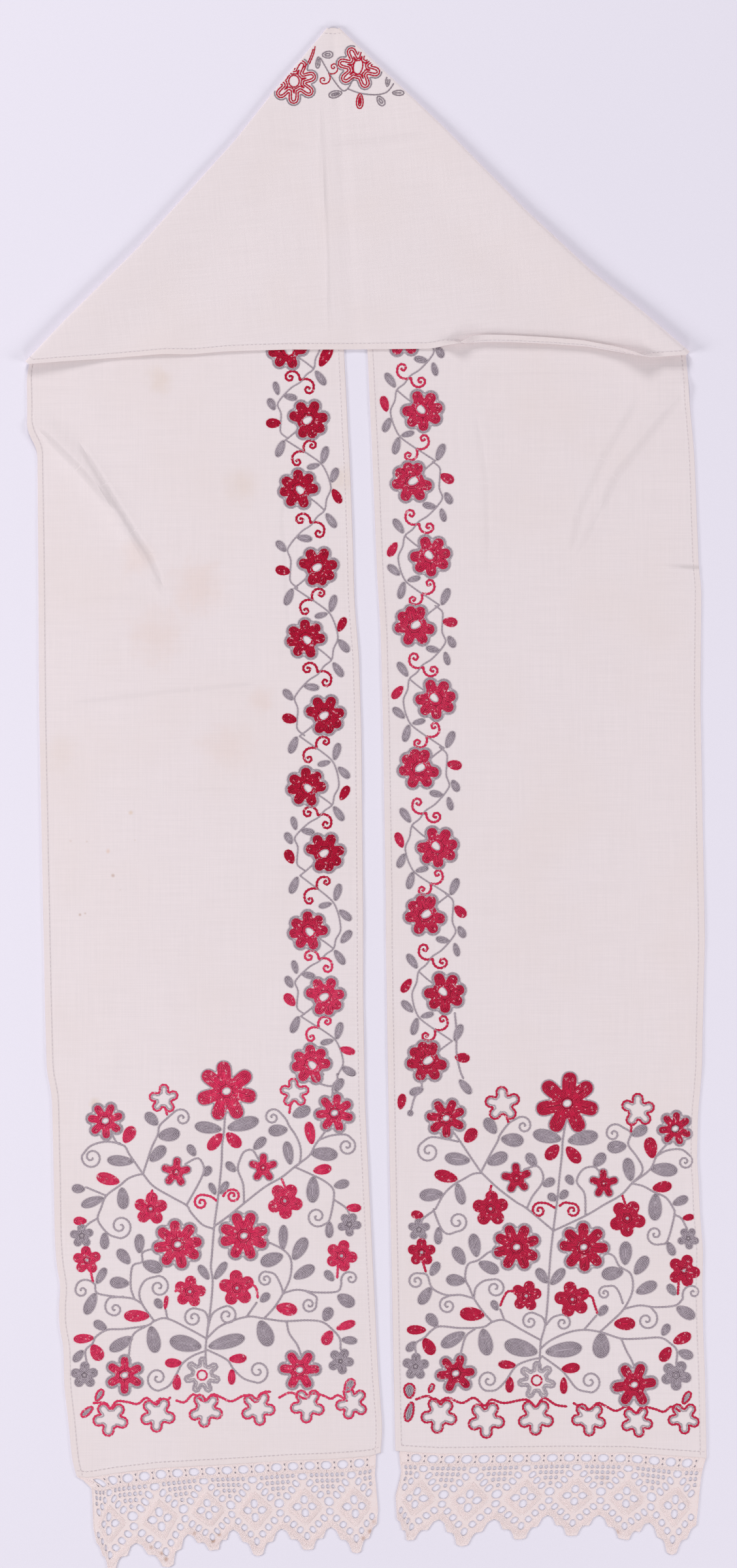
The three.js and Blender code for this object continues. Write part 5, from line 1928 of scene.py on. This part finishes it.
def make_linen(settings, weave, crease):
    """Unbleached linen, washed pale: weave, creases with painted shade, hems with painted shade along
    their stitched line, uneven tone, and marks of age.
    """
    linen, tree, shader = new_material("pale_linen", 0.88, 0.15, 0.2)
    strip = new_node(tree, "ShaderNodeUVMap", uv_map="strip")
    place = new_node(tree, "ShaderNodeTexCoord").outputs["Object"]
    cloth = group_node(tree, weave, {
        "Vector": strip.outputs["UV"], "Threads Per Metre": settings.threads_per_metre,
    })
    cloud = noise(tree, place, 7.0, 4.0, 0.55)
    tone = map_range(tree, cloth.outputs["Tone"], 0.3, 0.7)
    colour = settings.linen_colour
    base = mix_colour(tree, tone, scaled(colour, 0.965), scaled(colour, 1.015))
    cloud_part = map_range(tree, cloud, 0.4, 0.75, 0.0, 0.35)
    base = mix_colour(tree, cloud_part, base, scaled(settings.aged_colour))
    base = add_marks(tree, base, place, LINEN_MARKS)
    base, normal = add_creases(tree, base, place, crease)
    edge = attribute(tree, "edge")
    hem_edge = HEM_WIDTH * MM
    hem = map_range(tree, edge, 1.15 * hem_edge, 0.9 * hem_edge, 0.0, 0.25)
    # Painted shade along the stitched line of the hem, in place of the shade of its shallow step
    seam = math_node(tree, "ABSOLUTE", math_node(tree, "SUBTRACT", edge, hem_edge))
    seam = map_range(tree, seam, 0.0016, 0.0004)
    base = mix_colour(tree, seam, base, even(0.985), "MULTIPLY")
    band = map_range(tree, edge, hem_edge, 0.8 * hem_edge)
    base = mix_colour(tree, band, base, HEM_TINT, "MULTIPLY")
    tree.links.new(base, shader["Base Color"])
    folded = bump(tree, hem, MM, 1.0, Normal=normal)
    woven = bump(tree, cloth.outputs["Height"], WEAVE_RELIEF, 0.8, Normal=folded)
    tree.links.new(woven, shader["Normal"])
    return linen


def make_thread(name, spun, colour, worn_colour, fibre_scale, groove, deep=None, specks=0.0, marks=()):
    """Spun thread with a soft sheen, paler where it is worn, with painted shade in the valleys of its
    fibres and at the foot of its rows and in their grooves.
    """
    thread, tree, shader = new_material(name, 0.62, 0.03, 0.2)
    place = new_node(tree, "ShaderNodeTexCoord").outputs["Object"]
    fibres = group_node(tree, spun, {"Vector": place, "Fibre Scale": fibre_scale})
    part = math_node(tree, "MULTIPLY", fibres.outputs["Tone"], 0.55)
    base = mix_colour(tree, part, scaled(colour), scaled(worn_colour))
    if deep:
        parts = new_node(tree, "ShaderNodeSeparateXYZ", {0: place})
        shares = [map_range(tree, parts.outputs["Y"], *DEEP_ZONE, *ends) for ends in DEEP_SHARES]
        sides = [mix_colour(tree, share, base, scaled(deep)) for share in shares]
        side = map_range(tree, parts.outputs["X"], -0.02, 0.02)
        base = mix_colour(tree, side, *sides)
    # Painted shade in the low places of the fibre relief
    painted_valley_shade = map_range(tree, fibres.outputs["Height"], 0.35, 0.65, 0.0, 0.3)
    base = mix_colour(tree, painted_valley_shade, base, even(0.72), "MULTIPLY")
    if specks:
        bare = map_range(tree, noise(tree, place, 330.0, 1.0), 0.64, 0.72, 0.0, specks)
        base = mix_colour(tree, bare, base, scaled(worn_colour))
        base = mix_colour(tree, math_node(tree, "MULTIPLY", bare, 0.5), base, SPECK_COLOUR)
    base = add_marks(tree, base, place, marks)
    # Painted shade: darker towards the foot of each row by its rise attribute, in place of the shade in
    # the grooves between rows
    shade = map_range(tree, attribute(tree, "rise"), 0.75, 0.1, 0.0, groove)
    base = mix_colour(tree, shade, base, GROOVE_PAINTED_SHADE, "MULTIPLY")
    tree.links.new(base, shader["Base Color"])
    tree.links.new(bump(tree, fibres.outputs["Height"], FIBRE_RELIEF, 0.6), shader["Normal"])
    return thread


def make_floor(settings):
    """A plain pale sheet of paper under the towel."""
    paper, tree, shader = new_material("pale_floor", 0.9, 0.0, 0.1)
    place = new_node(tree, "ShaderNodeTexCoord").outputs["Object"]
    grain = noise(tree, place, 900.0, 2.0)
    part = map_range(tree, grain, 0.3, 0.7)
    colour = settings.floor_colour
    base = mix_colour(tree, part, scaled(colour, 0.99), scaled(colour, 1.01))
    tree.links.new(base, shader["Base Color"])
    return paper


def make_materials(scene):
    """Every material of the towel by its name."""
    weave = make_weave_group()
    crease = make_crease_group()
    spun = make_spun_group()
    thread = scene.towel_thread
    lace = scene.towel_lace
    materials = {"linen": make_linen(scene.towel_cloth, weave, crease)}
    for name, *looks in (
        ("red_thread", thread.red_colour, thread.worn_red, 2200.0, 0.7, thread.deep_red, 0.9),
        ("grey_thread", thread.grey_colour, thread.worn_grey, 2200.0, 0.7),
        ("reverse_red_thread", thread.reverse_red, thread.deep_red, 2200.0, 0.3),
        ("reverse_grey_thread", thread.reverse_grey, thread.grey_colour, 2200.0, 0.3),
        ("hem_thread", thread.hem_colour, thread.hem_colour, 2600.0, 0.3),
        ("crochet_cotton", lace.cotton_colour, lace.worn_colour, 1600.0, 0.4, None, 0.0, LACE_MARKS),
    ):
        materials[name] = make_thread(name, spun, *looks)
    return materials


def material(name):
    """One of the towel's materials, all made the first time one is asked for."""
    if name not in MATERIALS:
        MATERIALS.update(make_materials(bpy.context.scene))
    return MATERIALS[name]


MATERIALS = {}


def linear(red, green, blue):
    """A screen colour of 0 to 255 as the linear colour that a shader takes."""
    parts = []
    for value in (red, green, blue):
        part = value / 255
        parts.append(part / 12.92 if part <= 0.04045 else ((part + 0.055) / 1.055) ** 2.4)
    return tuple(parts)


def colour_property(name, description, red, green, blue):
    return FloatVectorProperty(
        name=name, description=description, subtype="COLOR", size=3, min=0.0, max=1.0,
        default=linear(red, green, blue))


def length_property(name, description, default, low, high):
    return FloatProperty(
        name=name, description=description, default=default, min=low, max=high, unit="LENGTH")


class TowelClothSettings(PropertyGroup):
    cloth_thickness: length_property(
        "Cloth Thickness", "Thickness of the linen away from its hems", 0.0007, 0.0003, 0.002)
    hem_thickness: length_property(
        "Hem Thickness", "Thickness of the turned and stitched hems", 0.0011, 0.0005, 0.003)
    threads_per_metre: FloatProperty(
        name="Threads Per Metre", description="How many threads of the weave fit in one metre",
        default=1250.0, min=300.0, max=4000.0)
    linen_colour: colour_property("Linen", "Colour of the clean linen", 240, 229, 229)
    aged_colour: colour_property(
        "Aged Linen", "Colour of the linen where it has yellowed", 236, 222, 217)


class TowelThreadSettings(PropertyGroup):
    stem_width: length_property(
        "Stem Width", "Width of a single row of chain stitch", 0.0026, 0.001, 0.005)
    row_width: length_property(
        "Row Width", "Width of one row where rows fill a shape", 0.0016, 0.0008, 0.005)
    row_height: length_property(
        "Row Height", "How far one row stands up from the linen", 0.0008, 0.0002, 0.002)
    row_gap: length_property(
        "Row Gap", "Distance between the middles of two neighbouring rows", 0.0015, 0.0008, 0.005)
    stitch_length: length_property(
        "Stitch Length", "Length of one chain stitch", 0.0037, 0.001, 0.008)
    red_colour: colour_property("Red Thread", "Colour of the red embroidery thread", 240, 42, 97)
    worn_red: colour_property(
        "Worn Red", "Colour of the red thread where it is worn", 250, 92, 128)
    deep_red: colour_property(
        "Deep Red", "Colour of the red thread of the older borders", 204, 5, 58)
    grey_colour: colour_property(
        "Grey Thread", "Colour of the grey embroidery thread", 184, 170, 180)
    worn_grey: colour_property(
        "Worn Grey", "Colour of the grey thread where it is worn", 208, 196, 203)
    reverse_red: colour_property(
        "Reverse Red", "Colour of the red thread on the wrong side", 200, 8, 48)
    reverse_grey: colour_property(
        "Reverse Grey", "Colour of the grey thread on the wrong side", 148, 134, 142)
    hem_colour: colour_property(
        "Hem Thread", "Colour of the thread that holds the hems", 226, 214, 216)


class TowelLaceSettings(PropertyGroup):
    yarn_diameter: length_property(
        "Yarn Diameter", "Diameter of the crochet yarn", 0.001, 0.0005, 0.004)
    cotton_colour: colour_property("Crochet Cotton", "Colour of the crochet yarn", 251, 234, 231)
    worn_colour: colour_property(
        "Worn Cotton", "Colour of the yarn where it is worn", 253, 241, 239)


class TowelStageSettings(PropertyGroup):
    camera_height: length_property(
        "Camera Height", "Height of the camera above the floor", 5.0, 1.0, 20.0)
    side_power: FloatProperty(
        name="Side Lights", description="Power of each of the two soft lights beside the towel",
        default=35.5, min=0.0, max=2000.0)
    sky_strength: FloatProperty(
        name="Room Light", description="Strength of the even light of the room",
        default=0.30, min=0.0, max=5.0)
    floor_colour: colour_property("Floor", "Colour of the floor", 240, 236, 246)


# Soft lights about the towel: name, place, aim, share of the power
LIGHTS = [
    ("light_left", (-2.6, -0.3, 1.25), (0, 0, 0), 1.22),
    ("light_right", (2.6, -0.3, 1.25), (0, 0, 0), 0.84),
    ("light_foot", (0.5, -3.0, 1.9), (0, -0.3, 0), 0.75),
    ("light_head", (-0.4, 3.0, 1.9), (0, 0.3, 0), 1.1),
]
LIGHT_SIZE = 1.0
LIGHT_COLOUR = (1.0, 0.985, 1.0)
ROOM_COLOUR = (0.93, 0.92, 1.0, 1.0)
# Reach of the floor each way and its height, in metres
FLOOR_REACH = 10.0
FLOOR_LEVEL = -0.0003
# The camera's place over the towel in metres, its sensor and its lens for each metre of height,
# both in millimetres, and how far it sees in metres
CAMERA_PLACE = (0.003, 0.0165)
SENSOR_WIDTH = 36
LENS_PER_METRE = 20
VIEW_END = 50


def add_light(name, place, aim, power):
    light = bpy.data.lights.new(name, "AREA")
    light.shape = "SQUARE"
    light.size = LIGHT_SIZE
    light.energy = power
    light.color = LIGHT_COLOUR
    lamp = add_object(name, light)
    heading = unit(np.subtract(aim, place))
    tilt = math.acos(-heading[2])
    turn = math.atan2(heading[0], -heading[1])
    lamp.location = place
    lamp.rotation_euler = (tilt, 0, turn + math.pi)


class TOWEL_OT_stage(Operator):
    """Sets up the floor, the soft lights, the room light and the camera above the towel"""

    bl_idname = "towel.stage"
    bl_label = "Stage"

    def execute(self, context):
        settings = context.scene.towel_stage
        ground = bpy.data.meshes.new("floor")
        corners = [(-1, -1), (1, -1), (1, 1), (-1, 1)]
        points = [(x * FLOOR_REACH, y * FLOOR_REACH, FLOOR_LEVEL) for x, y in corners]
        ground.from_pydata(points, [], [(0, 1, 2, 3)])
        ground.materials.append(make_floor(settings))
        add_object("floor", ground)

        camera = bpy.data.cameras.new("camera_above")
        camera.type = "PERSP"
        camera.sensor_fit = "AUTO"
        camera.sensor_width = SENSOR_WIDTH
        camera.lens = LENS_PER_METRE * settings.camera_height
        camera.clip_end = VIEW_END
        viewer = add_object("camera_above", camera)
        viewer.location = (*CAMERA_PLACE, settings.camera_height)
        context.scene.camera = viewer

        for name, place, aim, share in LIGHTS:
            add_light(name, place, aim, share * settings.side_power)

        world = bpy.data.worlds.new("room")
        world.use_nodes = True
        background = world.node_tree.nodes["Background"]
        background.inputs["Color"].default_value = ROOM_COLOUR
        background.inputs["Strength"].default_value = settings.sky_strength
        context.scene.world = world
        context.scene.view_settings.view_transform = "Standard"
        return {"FINISHED"}


class TOWEL_OT_embroidery(Operator):
    """Stitches the flowers of both ends, the border of both arms and the reverse at the point"""

    bl_idname = "towel.embroidery"
    bl_label = "Embroidery"

    def execute(self, context):
        settings = context.scene.towel_thread
        top = context.scene.towel_cloth.cloth_thickness / MM / 2 - STITCH_DEPTH

        def panel_top(x, y):
            return panel_middle(x, y) + top

        def point_top(x, y):
            return front_middle(x, y) + top + REVERSE_LIFT

        works = {"reverse_stitches": reverse_embroidery(settings, point_top)}
        for side in PANELS:
            works[f"{side}_end_flowers"] = end_embroidery(side, settings, panel_top)
            works[f"{side}_border_flowers"] = border_embroidery(side, settings, panel_top)
        for name, work in works.items():
            side_up = "reverse_" if name.startswith("reverse") else ""
            threads = {key: material(side_up + key) for key in ("red_thread", "grey_thread")}
            for piece in work.build(name, threads):
                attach(piece, "root")
        return {"FINISHED"}


class TOWEL_OT_hems(Operator):
    """Sews the hems of the strip with small even stitches"""

    bl_idname = "towel.hems"
    bl_label = "Hem Stitches"

    def execute(self, context):
        work = hem_stitching(context.scene.towel_cloth)
        piece = work.build("hem_stitching", material("hem_thread"))
        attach(piece, "root")
        return {"FINISHED"}


class TOWEL_OT_lace(Operator):
    """Crochets the edging of each end"""

    bl_idname = "towel.lace"
    bl_label = "Crochet Edgings"

    def execute(self, context):
        settings = context.scene.towel_lace
        for side, panel in PANELS.items():
            hem = panel_rows(*panel)[0]
            hem = hem[np.argsort(hem[:, 0])]
            make_lace(side, [tuple(row[:2]) for row in hem], settings, material("crochet_cotton"))
        return {"FINISHED"}


class TOWEL_OT_cloth(Operator):
    bl_idname = "towel.cloth"
    bl_label = "Folded Linen"

    def execute(self, context):
        settings = context.scene.towel_cloth
        grid, strip = sheet_grid()
        hem = settings.hem_thickness / MM
        thickness = np.full(grid.shape[:2], settings.cloth_thickness / MM)
        thickness[:, :int(np.sum(HEM_POINTS > HEM_BEND))] = hem
        thickness[:, -HEM_ROWS:] = hem
        thickness[:HEM_ROWS] = hem
        thickness[-HEM_ROWS:] = hem
        offset = grid_normals(grid) * thickness[..., None] / 2
        points = np.concatenate([(grid + offset).reshape(-1, 3), (grid - offset).reshape(-1, 3)])
        faces = sheet_faces(*grid.shape[:2]).tolist()
        away = np.tile(edge_distance(grid).ravel() * MM, 2)
        sheet = add_piece("cloth_sheet", points, faces, material("linen"), "edge", away)
        loops = np.empty(len(sheet.data.loops), dtype=np.int32)
        sheet.data.loops.foreach_get("vertex_index", loops)
        places = np.tile(strip.reshape(-1, 2), (2, 1)) * MM
        sheet.data.uv_layers.new(name="strip").data.foreach_set("uv", places[loops].ravel())
        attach(sheet, "root")
        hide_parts("cloth")
        sewn = [piece for piece in context.scene.objects if piece.name.endswith(SEWN_ENDINGS)]
        if not sewn:
            raise RuntimeError("The embroidery and the edgings are made before the cloth")
        return {"FINISHED"}


SEWN_ENDINGS = ("_red", "_grey", "_crochet", "_stitching")


class VIEW3D_PT_towel(Panel):
    """Lists the towel's pieces and their settings"""

    bl_idname = "VIEW3D_PT_towel"
    bl_label = "Embroidered Towel"
    bl_space_type = "VIEW_3D"
    bl_region_type = "UI"
    bl_category = "Towel"

    def draw(self, context):
        for operators, settings in PANEL_ORDER:
            box = self.layout.box()
            for operator in operators:
                box.operator(operator)
            group = getattr(context.scene, settings)
            for name in group.__annotations__:
                box.prop(group, name)


PANEL_ORDER = [
    (["towel.stage"], "towel_stage"),
    (["towel.embroidery"], "towel_thread"),
    (["towel.lace"], "towel_lace"),
    (["towel.hems", "towel.cloth"], "towel_cloth"),
]
SETTINGS = {
    "towel_stage": TowelStageSettings,
    "towel_thread": TowelThreadSettings,
    "towel_lace": TowelLaceSettings,
    "towel_cloth": TowelClothSettings,
}
CLASSES = [
    *SETTINGS.values(), TOWEL_OT_stage, TOWEL_OT_embroidery, TOWEL_OT_hems, TOWEL_OT_lace,
    TOWEL_OT_cloth, VIEW3D_PT_towel,
]


def register():
    for cls in CLASSES:
        bpy.utils.register_class(cls)
    for name, cls in SETTINGS.items():
        setattr(bpy.types.Scene, name, PointerProperty(type=cls))


def unregister():
    for name in SETTINGS:
        delattr(bpy.types.Scene, name)
    for cls in reversed(CLASSES):
        bpy.utils.unregister_class(cls)


def main():
    register()
    bpy.ops.towel.stage()
    bpy.ops.towel.embroidery()
    bpy.ops.towel.hems()
    bpy.ops.towel.lace()
    bpy.ops.towel.cloth()


if __name__ == "__main__":
    main()
